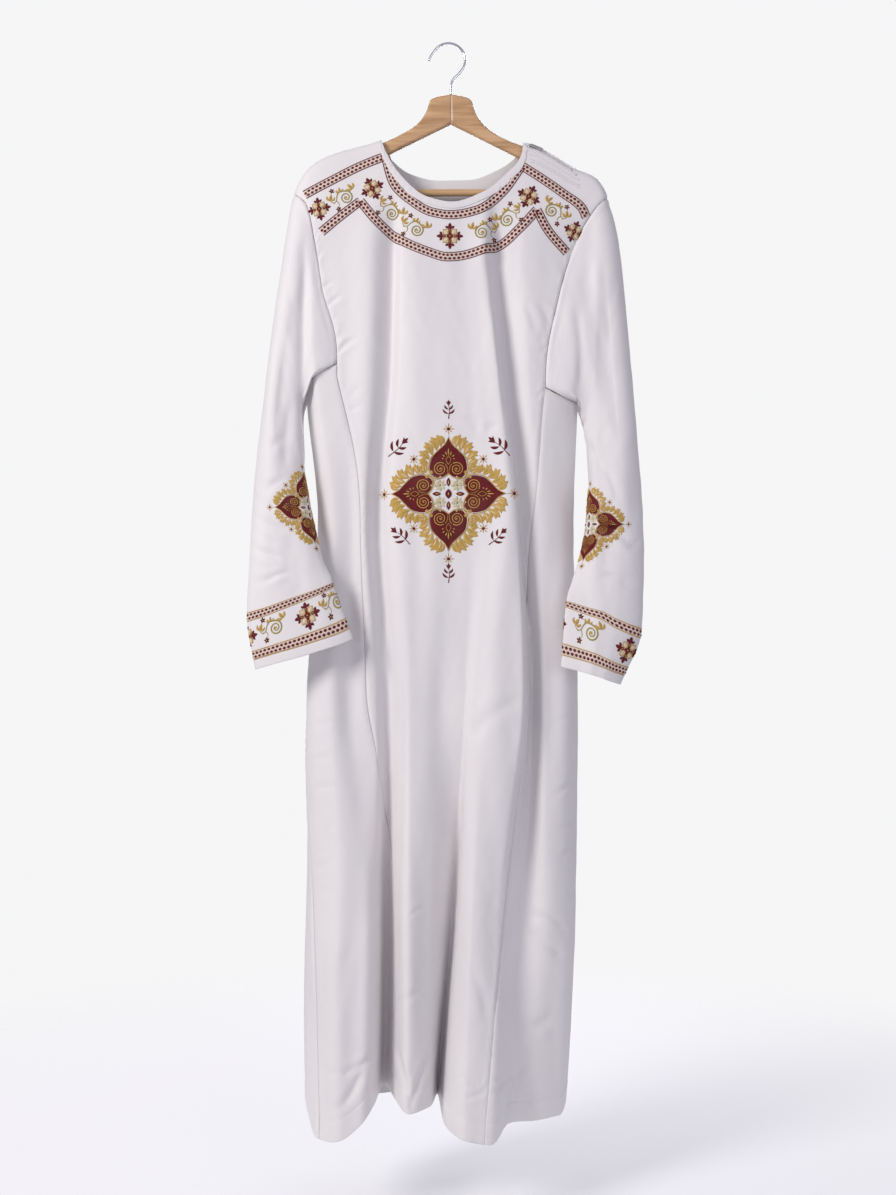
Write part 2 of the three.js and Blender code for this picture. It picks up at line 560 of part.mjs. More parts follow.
const cloth = { front, back, goreRight, goreLeft, sleeveRight, sleeveLeft };
Object.values(cloth).forEach((grid) => { grid.moves = []; });

// Long seams, shoulder seams and armholes.
sew(front, edge(front, 'right').slice(LAST_UPPER), goreRight, edge(goreRight, 'right'));
sew(front, edge(front, 'left').slice(LAST_UPPER), goreLeft, edge(goreLeft, 'right'));
sew(back, edge(back, 'right').slice(LAST_UPPER), goreRight, edge(goreRight, 'left'));
sew(back, edge(back, 'left').slice(LAST_UPPER), goreLeft, edge(goreLeft, 'left'));
const shoulderOf = (grid, end) => (end === 'right'
  ? edge(grid, 'top').slice(0, SHOULDER_STEPS + 1)
  : edge(grid, 'top').slice(-SHOULDER_STEPS - 1));
sew(front, shoulderOf(front, 'right'), back, shoulderOf(back, 'right'));
sew(front, shoulderOf(front, 'left'), back, shoulderOf(back, 'left'));
function sewSleeve(sleeveGrid, side, goreGrid) {
  const ringEdge = (from, count) => range(count).map((k) => [(from + k) % sleeveGrid.points.length, 0, 'down']);
  sew(sleeveGrid, ringEdge(0, UPPER_ROWS), front, edge(front, side).slice(0, UPPER_ROWS));
  sew(sleeveGrid, ringEdge(LAST_UPPER, GORE_STEPS + 1), goreGrid, edge(goreGrid, 'top'));
  sew(sleeveGrid, ringEdge(LAST_UPPER + GORE_STEPS, UPPER_ROWS), back, edge(back, side).slice(0, UPPER_ROWS).reverse());
}
sewSleeve(sleeveRight, 'right', goreRight);
sewSleeve(sleeveLeft, 'left', goreLeft);
Object.values(cloth).forEach((grid) => {
  grid.moves.forEach(([i, j, part]) => grid.points[i][j].add(part));
});

// Below the armhole a sleeve's wall stands outside its lines, so that it has room to turn at the sleeve's edges.
[sleeveRight, sleeveLeft].forEach((grid) => {
  grid.points.forEach((line, i) => line.forEach((p, j) => {
    p.addScaledVector(grid.normals[i][j], WALL * smooth(j / SWELL_ROWS));
  }));
});

// ---- hanger and hook ---------------------------------------------------------------------------------------

// One section of an arm: a flat-sided loop with half-round top and bottom, in the plane x.
function armSection(x, top, bottom, half) {
  const quarter = ARM_SIDES / 2;
  const arc = (centre, from) => range(quarter + 1).map((k) => {
    const angle = from + Math.PI * k / quarter;
    return new THREE.Vector3(x, half * Math.cos(angle), centre + half * Math.sin(angle));
  });
  return [...arc(top - half, 0), ...arc(bottom + half, Math.PI)];
}

// A closed body through rings of equal length, with flat ends.
function loft(rings, flip) {
  const n = rings[0].length;
  const positions = rings.flat().flatMap((p) => p.toArray());
  const triangles = [];
  const tri = (a, b, c) => triangles.push(...(flip ? [a, c, b] : [a, b, c]));
  for (let r = 0; r < rings.length - 1; r += 1) {
    for (let k = 0; k < n; k += 1) {
      const [a, b] = [r * n + k, r * n + (k + 1) % n];
      tri(a, b, b + n);
      tri(a, b + n, a + n);
    }
  }
  const end = (rings.length - 1) * n;
  for (let k = 1; k < n - 1; k += 1) {
    tri(0, k + 1, k);
    tri(end, end + k, end + k + 1);
  }
  const geometry = new THREE.BufferGeometry();
  geometry.setAttribute('position', new THREE.Float32BufferAttribute(positions, 3));
  geometry.setIndex(triangles);
  geometry.computeVertexNormals();
  return geometry;
}

function hangerArm(side) {
  const outward = side === 'right' ? -1 : 1;
  const bottoms = curve(ARM_BOTTOMS[side].x, ARM_BOTTOMS[side].z);
  const rests = shoulderColumns(side).slice(1, -1).sort((a, b) => outward * (a - b));
  const slope = (x) => ridge(x + 1) / 2 - ridge(x - 1) / 2;
  const tops = [...ARM_TOPS[side], ...rests.map((x) => [x, ridge(x) - UNDER_CLOTH * Math.hypot(1, slope(x))])];
  const rings = tops.map(([x, top], k) => {
    const at = k === 0 ? x + outward * SEAM_GAP / 2 : x;
    return armSection(at, top, bottoms(at), k < tops.length - 1 ? ARM_HALF : ARM_HALF * ARM_END);
  });
  return loft(rings, side === 'right');
}

function wireHook() {
  const bends = 12;
  const bow = range(bends + 1).map((k) => {
    const angle = THREE.MathUtils.degToRad(lerp(BOW_ANGLES.from, BOW_ANGLES.to, k / bends));
    return [HOOK_BEND * Math.cos(angle), HOOK_BEND * (Math.sin(angle) - 1) + HOOK_WIRE];
  });
  const points = [...HOOK_TIP, ...bow, ...HOOK_SHANK].map(([x, z]) => new THREE.Vector3(x, 0, z));
  const path = new THREE.CatmullRomCurve3(points);
  const circle = new THREE.Shape();
  circle.absarc(0, 0, HOOK_WIRE, 0, 2 * Math.PI);
  return new THREE.ExtrudeGeometry(circle, { steps: 32, curveSegments: 4, extrudePath: path });
}

// ---- joining and cutting solids ----------------------------------------------------------------------------

const wasm = await Module();
wasm.setup();

function solid(geometry) {
  const plain = new THREE.BufferGeometry();
  plain.setAttribute('position', geometry.getAttribute('position').clone());
  if (geometry.index) plain.setIndex(geometry.index.clone());
  const merged = mergeVertices(plain, 1e-4);
  const vertProperties = new Float32Array(merged.getAttribute('position').array);
  const triVerts = new Uint32Array(merged.index.array);
  return new wasm.Manifold(new wasm.Mesh({ numProp: 3, vertProperties, triVerts }));
}

function carve(geometry, tool) {
  const mesh = solid(geometry).subtract(solid(tool)).getMesh();
  const result = new THREE.BufferGeometry();
  result.setAttribute('position', new THREE.Float32BufferAttribute(mesh.vertProperties, 3));
  result.setIndex([...mesh.triVerts]);
  result.computeVertexNormals();
  return result;
}

// A round bar along X, through pairs of x and radius.
function turned(profile) {
  const points = [[profile[0][0], 0], ...profile, [profile.at(-1)[0], 0]];
  const geometry = new THREE.LatheGeometry(points.map(([x, r]) => new THREE.Vector2(r, x)), BAR.sides);
  return geometry.rotateZ(-Math.PI / 2).translate(0, 0, BAR.z);
}

function trouserBar() {
  const { radius, from, to } = BAR;
  const { radius: thin, length } = TENON;
  return turned([[from - length, thin], [from, thin], [from, radius], [to, radius], [to, thin], [to + length, thin]]);
}

function socket(side) {
  const { radius, length, socket: clear } = TENON;
  const end = side === 'right' ? BAR.from - length - clear : BAR.to + length + clear;
  const mouth = side === 'right' ? BAR.from + length : BAR.to - length;
  const reach = [Math.min(end, mouth), Math.max(end, mouth)];
  return turned([[reach[0], radius + clear], [reach[1], radius + clear]]);
}

// ---- neck bands, zip, slider and pull ------------------------------------------------------------------------

// A point of a grid between its rows and columns, and the outward direction there.
function sample(grid, i, j) {
  const i0 = Math.min(Math.floor(i), grid.points.length - 2);
  const j0 = Math.min(Math.floor(j), grid.points[0].length - 2);
  const blend = (table) => {
    const low = table[i0][j0].clone().lerp(table[i0 + 1][j0], i - i0);
    const high = table[i0][j0 + 1].clone().lerp(table[i0 + 1][j0 + 1], i - i0);
    return low.lerp(high, j - j0);
  };
  return { point: blend(grid.points), normal: blend(grid.normals).normalize() };
}

// A thin piece that lies on a panel, over the columns and rows given.
function layer(grid, columns, rows) {
  const points = [];
  const normals = [];
  columns.forEach((i) => {
    const places = rows.map((j) => sample(grid, i, j));
    points.push(places.map(({ point, normal }) => point.addScaledVector(normal, LAY_GAP + TRIM_WALL)));
    normals.push(places.map(({ normal }) => normal));
  });
  return wall({ points, normals, flip: grid.flip }, TRIM_WALL);
}

function neckBand(grid) {
  const last = grid.points.length - 1 - SHOULDER_STEPS;
  return layer(grid, range(last - SHOULDER_STEPS + 1).map((k) => SHOULDER_STEPS + k), NECK_BAND_ROWS);
}

const ZIP_START = front.points.length - 1 - SHOULDER_STEPS;   // the neck's corner, on the wearer's left

// The slider's frame: where it sits on the zip, the way along the zip from the neck, and the way out of the cloth.
function sliderFrame() {
  const { point, normal } = sample(front, ZIP_START + SLIDER.at, ZIP_ROWS[1]);
  const ahead = sample(front, ZIP_START + 1, ZIP_ROWS[1]).point;
  const along = ahead.sub(point).normalize();
  const across = normal.clone().cross(along).normalize();
  const out = along.clone().cross(across).normalize();
  return { point: point.addScaledVector(out, 2 * LAY_GAP + TRIM_WALL), along, across, out };
}

// A flat plate with round corners, lying in the slider's frame: from and to along the zip, and its foot above it.
function plate(frame, from, to, width, height, foot, hole) {
  const r = Math.min(width, to - from) * PLATE_CORNER;
  const [left, right] = [-width / 2, width / 2];
  const shape = new THREE.Shape();
  shape.absarc(to - r, right - r, r, Math.PI / 2, 0, true);
  shape.absarc(to - r, left + r, r, 0, -Math.PI / 2, true);
  shape.absarc(from + r, left + r, r, -Math.PI / 2, -Math.PI, true);
  shape.absarc(from + r, right - r, r, Math.PI, Math.PI / 2, true);
  if (hole) shape.holes.push(new THREE.Path().absarc(hole.at, 0, hole.radius, 0, 2 * Math.PI));
  const geometry = new THREE.ExtrudeGeometry(shape, { depth: height, bevelEnabled: false, curveSegments: 4 });
  const matrix = new THREE.Matrix4().makeBasis(frame.along, frame.across, frame.out);
  matrix.setPosition(frame.point.clone().addScaledVector(frame.out, foot));
  return geometry.applyMatrix4(matrix);
}

const slider = sliderFrame();
const zipSlider = plate(slider, -SLIDER.length / 2, SLIDER.length / 2, SLIDER.width, SLIDER.height, 0);
const zipPull = plate(
  slider, -PULL.hinge, PULL.length - PULL.hinge, PULL.width, PULL.height, SLIDER.height + LAY_GAP,
  { at: PULL.length - PULL.hinge - PULL.hole.inset, radius: PULL.hole.radius },
);

// ---- the scene ---------------------------------------------------------------------------------------------

const CLOTH = new THREE.MeshStandardMaterial({ color: 0xe4dfe0, roughness: 0.6, metalness: 0 });
const WOOD = new THREE.MeshStandardMaterial({ color: 0xc8a06e, roughness: 0.45, metalness: 0 });
const CHROME = new THREE.MeshStandardMaterial({ color: 0xc9ccd0, roughness: 0.15, metalness: 1 });
const NICKEL = new THREE.MeshStandardMaterial({ color: 0xa9a8a4, roughness: 0.3, metalness: 1 });

const tunic = new THREE.Group();
const hanger = new THREE.Group();
const part = new THREE.Group();
part.add(tunic, hanger);

function add(group, name, geometry, material) {
  const mesh = new THREE.Mesh(geometry, material);
  mesh.name = name;
  group.add(mesh);
}

// A long piece is cut in one, but stands here as stretches, so that each can follow its own hollow closely.
function addStretches(name, grid, cuts, endings) {
  const rows = [0, ...cuts, grid.points[0].length - 1];
  endings.forEach((ending, k) => {
    add(tunic, `${name}_${ending}`, wall(stretch(grid, rows[k], rows[k + 1]), WALL), CLOTH);
  });
}

addStretches('front_panel', front, PANEL_CUTS, ['chest', 'waist', 'hem']);
addStretches('back_panel', back, PANEL_CUTS, ['chest', 'waist', 'hem']);
addStretches('sleeve_right', sleeveRight, SLEEVE_CUTS, ['upper', 'cuff']);
addStretches('sleeve_left', sleeveLeft, SLEEVE_CUTS, ['upper', 'cuff']);
add(tunic, 'side_gore_right', wall(goreRight, WALL), CLOTH);
add(tunic, 'side_gore_left', wall(goreLeft, WALL), CLOTH);
add(tunic, 'neck_band_front', neckBand(front), CLOTH);
add(tunic, 'neck_band_back', neckBand(back), CLOTH);
add(tunic, 'zip_tape', layer(front, ZIP_COLUMNS.map((k) => ZIP_START + k), ZIP_ROWS), CLOTH);
add(tunic, 'zip_slider', zipSlider, NICKEL);
add(tunic, 'zip_pull', zipPull, NICKEL);
['right', 'left'].forEach((side) => {
  add(hanger, `hanger_arm_${side}`, carve(hangerArm(side), socket(side)), WOOD);
});
add(hanger, 'trouser_bar', trouserBar(), WOOD);
add(hanger, 'hook', wireHook(), CHROME);

export default part;
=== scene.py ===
"""Dresses the coptic deacon's tunic on its wooden hanger.

Blender's metres, +Z up. The tunic faces -Y, so the wearer's right is at -X. The tables and the surfaces are
in millimetres, as a cutter writes them, and become metres when a mesh is made. Each piece of cloth is a
closed shell on a fine grid of its own surface: points[column, row], with the seams, creases and hems worked
into it.
"""

import math

import bpy
import numpy as np
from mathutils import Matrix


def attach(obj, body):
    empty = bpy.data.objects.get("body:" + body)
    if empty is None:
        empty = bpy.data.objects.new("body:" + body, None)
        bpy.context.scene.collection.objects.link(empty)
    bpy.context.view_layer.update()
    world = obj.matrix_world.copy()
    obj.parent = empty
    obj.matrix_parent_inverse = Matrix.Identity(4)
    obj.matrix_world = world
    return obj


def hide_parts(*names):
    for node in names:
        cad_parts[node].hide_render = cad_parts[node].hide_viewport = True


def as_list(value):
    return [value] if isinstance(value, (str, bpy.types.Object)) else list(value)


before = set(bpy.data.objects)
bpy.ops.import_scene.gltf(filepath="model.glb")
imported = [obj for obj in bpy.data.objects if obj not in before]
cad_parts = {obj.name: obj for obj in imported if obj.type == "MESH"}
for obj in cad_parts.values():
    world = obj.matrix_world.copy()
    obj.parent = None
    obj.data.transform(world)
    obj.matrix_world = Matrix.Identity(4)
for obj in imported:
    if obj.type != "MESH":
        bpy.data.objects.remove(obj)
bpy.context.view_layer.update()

MM = 0.001

# ---- the body's folds ----
# Across the body from the wearer's right, as (x, y) at the heights in LEVELS, and last the point (x, y, z)
# where the fold meets the hem.

LEVELS = [-334, -501, -715, -966, -1276]   # chest, underarm, waist, thigh, knee

FRONT_FOLDS = {
    #                 chest        underarm     waist        thigh        knee         hem
    "right_edge":       [[-214, 0],   [-214, 0],   [-196, 2],   [-211, 6],   [-215, 12],  [-217, 14, -1585]],
    "right_gore_side":  [[-209, -10], [-206, -12], [-188, -16], [-197, -24], [-193, -36], [-193, -50, -1622]],
    "right_gore_crest": [[-198, -18], [-194, -22], [-168, -28], [-172, -38], [-155, -62], [-155, -88, -1613]],
    "right_gore_inner": [[-155, -24], [-155, -23], [-146, -26], [-143, -28], [-123, -60], [-128, -84, -1593]],
    "right_pipe":       [[-115, -31], [-119, -31], [-125, -32], [-110, -32], [-104, -42], [-110, -60, -1572]],
    "right_valley":     [[-83, -14],  [-89, -12],  [-107, -13], [-92, -18],  [-92, -2],   [-97, 12, -1563]],
    "centre_edge":      [[-69, -27],  [-72, -27],  [-88, -28],  [-70, -36],  [-76, -38],  [-80, -42, -1566]],
    "centre_crest":     [[-42, -32],  [-45, -33],  [-54, -36],  [-55, -46],  [-57, -68],  [-57, -84, -1576]],
    "centre_fall":      [[-1, -32],   [2, -33],    [-1, -38],   [-7, -37],   [-27, -52],  [-28, -60, -1572]],
    "centre_valley":    [[20, -31],   [29, -33],   [32, -37],   [23, -38],   [7, -8],     [-17, 4, -1575]],
    "lobe_edge":        [[36, -33],   [49, -36],   [61, -42],   [37, -50],   [17, -50],   [-7, -64, -1597]],
    "lobe_crest":       [[52, -37],   [71, -42],   [87, -48],   [64, -58],   [37, -72],   [25, -104, -1608]],
    "lobe_outer":       [[58, -33],   [77, -38],   [100, -44],  [108, -54],  [72, -64],   [62, -100, -1615]],
    "left_valley":      [[74, -12],   [89, -12],   [108, -12],  [124, -4],   [112, -26],  [87, -54, -1599]],
    "left_pipe":        [[113, -28],  [121, -27],  [137, -24],  [143, -28],  [142, -38],  [118, -28, -1605]],
    "left_gore_flat":   [[151, -22],  [148, -24],  [160, -20],  [166, -24],  [168, -30],  [148, -22, -1603]],
    "left_gore_side":   [[185, -12],  [180, -13],  [176, -12],  [184, -14],  [186, -14],  [168, -8, -1603]],
    "left_edge":        [[208, 0],    [196, 0],    [188, 2],    [195, 4],    [193, 8],    [177, 10, -1583]],
}

BACK_FOLDS = {
    #                   chest       underarm    waist       thigh       knee        hem
    "back_left_side":     [[190, 12],  [183, 13],  [174, 18],  [182, 22],  [182, 30],  [170, 36, -1595]],
    "back_left_crest":    [[160, 24],  [158, 26],  [150, 36],  [146, 46],  [140, 66],  [138, 84, -1602]],
    "back_left_valley":   [[110, 22],  [108, 24],  [104, 26],  [100, 28],  [96, 32],   [94, 38, -1585]],
    "back_left_lobe":     [[62, 30],   [62, 32],   [56, 42],   [50, 56],   [46, 82],   [44, 102, -1600]],
    "back_centre_valley": [[4, 26],    [4, 28],    [2, 30],    [-2, 34],   [-4, 38],   [-6, 44, -1582]],
    "back_right_lobe":    [[-54, 30],  [-54, 32],  [-54, 42],  [-54, 54],  [-56, 80],  [-56, 100, -1600]],
    "back_right_valley":  [[-104, 22], [-104, 24], [-104, 26], [-102, 30], [-102, 36], [-102, 44, -1586]],
    "back_right_crest":   [[-156, 24], [-156, 26], [-150, 36], [-150, 48], [-152, 68], [-150, 86, -1602]],
    "back_right_side":    [[-201, 12], [-202, 13], [-186, 18], [-200, 24], [-200, 36], [-198, 46, -1598]],
}

# Where the four long seams run, counted in folds from right_edge = 0, at the underarm, waist, thigh, knee
# and hem.
LONG_SEAMS = {
    "front_right": [2.75, 3.7, 3.6, 5.7, 5.9],
    "front_left":  [14.95, 13.6, 12.5, 12.3, 11.7],
    "back_left":   [19.15, 18.8, 18.3, 18.0, 17.9],
    "back_right":  [25.0, 25.6, 26.4, 27.7, 28.1],
}
MEAN_HEM = -1595

# ---- shoulders, neck and sleeves ----

SHOULDER = {
    "right": { "x": [-232, -225, -208, -172, -119, -101], "z": [-226, -208, -184, -164, -149.5, -143.5] },
    "left": { "x": [112, 124, 155, 185, 221, 234, 239], "z": [-147.5, -150, -166, -184, -200, -217, -230] },
}
FRONT_NECK = {
    "x": [-101, -94, -72, -32, 5, 49, 89, 109, 112],
    "z": [-143.5, -163.5, -200, -234, -242, -228, -196, -168, -147.5],
}
BACK_NECK = {
    "x": [-101, -88, -56, -16, 32, 73, 101, 112],
    "z": [-143.5, -166, -190, -199, -198, -184, -165, -147.5],
}
SHOULDER_ROUND = 10.5                 # radius of the cloth's fold over the shoulder
EASE = {-1: (20, 70), 1: (15, 80)}    # front and back: how far the cloth moves out below it, and how fast
YOKE_ENDS = (-215, -330)              # heights between which the folds take over from the shoulders

# Down each sleeve, at eight stations from the armhole to the cuff's hem; the second last is the cuff band's
# top.
SLEEVE_LINES = {
    "right": {
        "outer":        [[-232, 0, -226], [-241, -2, -282], [-257, -6, -392], [-272, -14, -517],
                     [-284, -30, -641], [-291, -44, -762], [-294, -52, -851], [-281, -58, -934]],
        "front_outer":  [[-212, -14, -244], [-230, -21, -340], [-245, -28, -440], [-259, -38, -550],
                     [-266, -52, -663], [-271, -60, -775], [-266, -64, -843], [-251, -68, -925]],
        "front_mid":    [[-200, -17, -297], [-217, -20, -393], [-231, -27, -484], [-243, -38, -579],
                     [-247, -56, -682], [-244, -64, -783], [-235, -68, -832], [-217, -72, -916]],
        "front_inner":  [[-184, -21, -395], [-203, -27, -447], [-220, -24, -532], [-225, -36, -615],
                     [-219, -54, -706], [-209, -64, -791], [-200, -68, -820], [-178, -72, -904]],
        "front_corner": [[-167, -22, -481], [-197, -29, -493], [-218, -19, -565], [-217, -32, -635],
                     [-204, -48, -723], [-188, -60, -794], [-182, -64, -813], [-156, -68, -897]],
        "inner":        [[-214, 0, -505], [-229, -2, -520], [-222, -8, -585], [-215, -22, -649],
                     [-197, -40, -737], [-175, -52, -795], [-171, -56, -808], [-141, -60, -890]],
    },
    "left": {
        "outer":        [[239, 0, -230], [253, -2, -294], [263, -6, -384], [272, -14, -505],
                     [281, -30, -633], [286, -44, -759], [282, -50, -874], [250, -56, -956]],
        "front_outer":  [[221, -14, -247], [239, -21, -340], [245, -26, -433], [253, -36, -541],
                     [262, -50, -657], [267, -58, -769], [262, -62, -867], [234, -66, -951]],
        "front_mid":    [[191, -18, -297], [222, -20, -385], [230, -26, -479], [236, -36, -573],
                     [242, -54, -678], [246, -62, -779], [241, -66, -858], [222, -70, -946]],
        "front_inner":  [[160, -22, -402], [199, -27, -446], [214, -24, -520], [221, -34, -600],
                     [225, -52, -697], [226, -62, -789], [224, -66, -849], [209, -70, -942]],
        "front_corner": [[146, -22, -517], [182, -29, -522], [203, -19, -575], [214, -30, -636],
                     [213, -46, -715], [204, -56, -798], [202, -60, -843], [192, -64, -937]],
        "inner":        [[196, 0, -535], [211, -2, -550], [209, -8, -602], [210, -20, -650],
                     [204, -34, -722], [183, -46, -804], [174, -52, -834], [166, -56, -931]],
    },
}
SLEEVE_BACK = np.array([1, 1, 0.85, 0.6, 0.6, 0.7, 0.7, 0.7])   # fullness of the back, against the front
ARMHOLE_FADE = 1.6                    # stations over which a sleeve leaves the armhole's exact shape
SLEEVE_SWELL, SWELL_FADE = 1.5, 0.44  # how far its outside stands off its lines, and from which station on
CORNER_TURN, WHOLE_TURN = 4, 10       # lines round a sleeve, from outer = 0: its front corner, and all

CLOTH = 1.3                           # thickness of the cloth
SEAM_GAP = 0.15                       # from a seam's middle to each piece
FINE_EDGE = [0, 0.018, 0.045, 0.082]  # shares of a shoulder's columns, close to a seam
NECK_CROWDING = 0.4
NECK_LEAN_REACH = 70                  # how far along the shoulders columns still lean away from the neck
CROWDED = [(112, -215), (-84, -360)]  # places where the columns are evened out, as x and z,
CROWDED_REACH = 75                    # how far round them,
EVENING_ROUNDS = 300                  # and how many times
HALVINGS = 22                         # of a span, in the search for a place across the folds
DROPS = np.array([0, 0.5, 1.2, 2.2, 3.6, 5.5, 7.7, 10, 12.5, 16, 20, 24])   # rows close under the shoulder


# ---- smooth curves ----

def lerp(a, b, t):
    return a + (b - a) * t


def smooth(t):
    """Rises from 0 to 1, level at both ends: 3 t squared less 2 t cubed."""
    t = np.clip(t, 0, 1)
    return t * t * (3 - 2 * t)


def unit(v):
    return v / np.maximum(np.linalg.norm(v, axis=-1, keepdims=True), 1e-12)


def round_angles(count):
    """Even turns round a circle, in radians."""
    return np.arange(count) * 2 * math.pi / count


def lengths(points, axis):
    """Distance run along rows of points from the first one on an axis."""
    step = np.linalg.norm(np.diff(points, axis=axis), axis=-1)
    start = np.zeros_like(np.take(step, [0], axis))
    return np.cumsum(np.concatenate([start, step], axis), axis)


def left_of(way):
    """A flat way, turned a quarter to the left."""
    return np.stack([-way[..., 1], way[..., 0]], -1)


def hermite(t, start, end, leave, arrive):
    """The cubic from start to end whose slopes there are leave and arrive."""
    s = 1 - t
    return start * (1 + 2 * t) * s * s + end * t * t * (3 - 2 * t) + leave * t * s * s - arrive * t * t * s


def level_tangent(before, after, gap_before=1.0, gap_after=1.0):
    """The weighted harmonic mean of two slopes, or 0 where they differ in sign, so that no curve
    overshoots."""
    near = 2 * gap_after + gap_before
    far = gap_after + 2 * gap_before
    same = before * after > 0
    safe = np.where(same, near * after + far * before, 1)
    return np.where(same, (near + far) * before * after / safe, 0)


class Curve:
    """A curve through knots, cubic between them, that never swings past a knot's value."""

    def __init__(self, knots, values):
        order = np.argsort(knots)
        self.knots = np.asarray(knots, float)[order]
        self.values = np.asarray(values, float)[order]
        gaps = np.diff(self.knots)
        slopes = np.diff(self.values) / gaps
        inner = level_tangent(slopes[:-1], slopes[1:], gaps[:-1], gaps[1:])
        self.tangents = np.concatenate([slopes[:1], inner, slopes[-1:]])

    def __call__(self, at):
        at = np.clip(at, self.knots[0], self.knots[-1])
        i = np.clip(np.searchsorted(self.knots, at) - 1, 0, len(self.knots) - 2)
        gap = self.knots[i + 1] - self.knots[i]
        t = (at - self.knots[i]) / gap
        leave, arrive = gap * self.tangents[i], gap * self.tangents[i + 1]
        return hermite(t, self.values[i], self.values[i + 1], leave, arrive)


class Loop:
    """The same through values one step apart along the last axis, closed on themselves."""

    def __init__(self, values):
        self.values = np.asarray(values, float)
        after = np.roll(self.values, -1, -1) - self.values
        self.tangents = level_tangent(np.roll(after, 1, -1), after)

    def __call__(self, at):
        at = np.asarray(at, float)
        first = np.floor(at).astype(int)
        ends = (self.pick(table, first + ahead) for table in (self.values, self.tangents) for ahead in (0, 1))
        return hermite(at - first, *ends)

    @staticmethod
    def pick(table, k):
        """The table's entries k along its last axis, counted round and round."""
        k = k % table.shape[-1]
        if table.ndim == 1:
            return table[k]
        return np.take_along_axis(table, k[..., None], -1)[..., 0]


# ---- the body's cross-section ----

FOLDS = [*FRONT_FOLDS.values(), *BACK_FOLDS.values()]
FOLD_CURVES = [
    [Curve([*LEVELS, row[5][2]], [point[axis] for point in row]) for row in FOLDS]
    for axis in (0, 1)
]
LAST_FRONT = len(FRONT_FOLDS) - 1
FRONT_SPAN, BACK_SPAN = (0, LAST_FRONT), (len(FOLDS), LAST_FRONT)
hem_height = Loop([row[5][2] for row in FOLDS])
SEAMS = {name: Curve([*LEVELS[1:], MEAN_HEM], lines) for name, lines in LONG_SEAMS.items()}


def folds_at(z):
    """x and y of every fold line at the heights z, as two loops."""
    return [Loop(np.stack([curve(z) for curve in curves], -1)) for curves in FOLD_CURVES]


def section(line, z):
    """The body's surface at a place counted in fold lines and a height."""
    across, out = folds_at(z)
    return np.stack([across(line), out(line), z], -1)


def line_at_x(x, across, span):
    """The place, in fold lines, where the section crosses x, found by halving the span."""
    low, high = (np.full(x.shape, float(end)) for end in span)
    for _ in range(HALVINGS):
        middle = (low + high) / 2
        short = across(middle) < x
        low = np.where(short, middle, low)
        high = np.where(short, high, middle)
    return (low + high) / 2


ridge = Curve(*([*SHOULDER["right"][axis], *SHOULDER["left"][axis]] for axis in "xz"))


def shoulder_reach(x, z, sign):
    """How far cloth stands out from the middle plane: a quarter round over the shoulder, then an easing
    out."""
    reach, over = EASE[sign]
    depth = np.maximum(0, ridge(x) - z)
    steep = (ridge(x + 1) - ridge(x - 1)) / 2
    under = np.minimum(SHOULDER_ROUND, depth / np.hypot(1, steep))
    return np.sqrt(SHOULDER_ROUND ** 2 - (SHOULDER_ROUND - under) ** 2) + reach * (1 - np.exp(-depth / over))


def body_y(x, z, sign):
    """Depth of the front (sign -1) or back (1): the shoulders' at the top, and the folds' below the yoke."""
    across, out = folds_at(z)
    line = line_at_x(x, across, FRONT_SPAN if sign < 0 else BACK_SPAN)
    folded = smooth((z - YOKE_ENDS[0]) / (YOKE_ENDS[1] - YOKE_ENDS[0]))
    return lerp(sign * shoulder_reach(x, z, sign), out(line), folded)


class Armhole:
    """Where a sleeve is set in: its edge's x and the sleeve's line, by height."""

    def __init__(self, side):
        points = [SLEEVE_LINES[side][name][0] for name in SLEEVE_ORDER[:5]]
        heights = [z for _, _, z in points]
        self.top, self.bottom = heights[0], heights[4]
        self.x = Curve(heights, [x for x, _, _ in points])
        self.turn = Curve(heights, range(5))
        self.crown = SLEEVE_LINES[side]["inner"][0][2]


SLEEVE_ORDER = ["outer", "front_outer", "front_mid", "front_inner", "front_corner", "inner"]
ARMHOLES = {side: Armhole(side) for side in ("right", "left")}


# ---- cloth grids ----

def shoulder_columns(side, shares):
    """x where columns cross the shoulder, from its tip at share 0 to the neck's corner at 1, closer at the
    tip."""
    line = SHOULDER[side]["x"]
    tip, corner = (line[0], line[-1]) if side == "right" else (line[-1], line[0])
    return lerp(tip, corner, lerp(shares, shares ** 2, 0.5))


def neck_columns(line, start, end, count):
    """x where columns leave the neck's edge: spaced along its length, and closer at its two steep corners."""
    xs = np.linspace(start, end, 400)
    runs = np.concatenate([[0], np.cumsum(np.hypot(np.diff(xs), np.diff(line(xs))))])
    t = np.linspace(0, 1, count + 2)[1:-1]
    return np.interp(runs[-1] * lerp(t, smooth(t), NECK_CROWDING), runs, xs), t


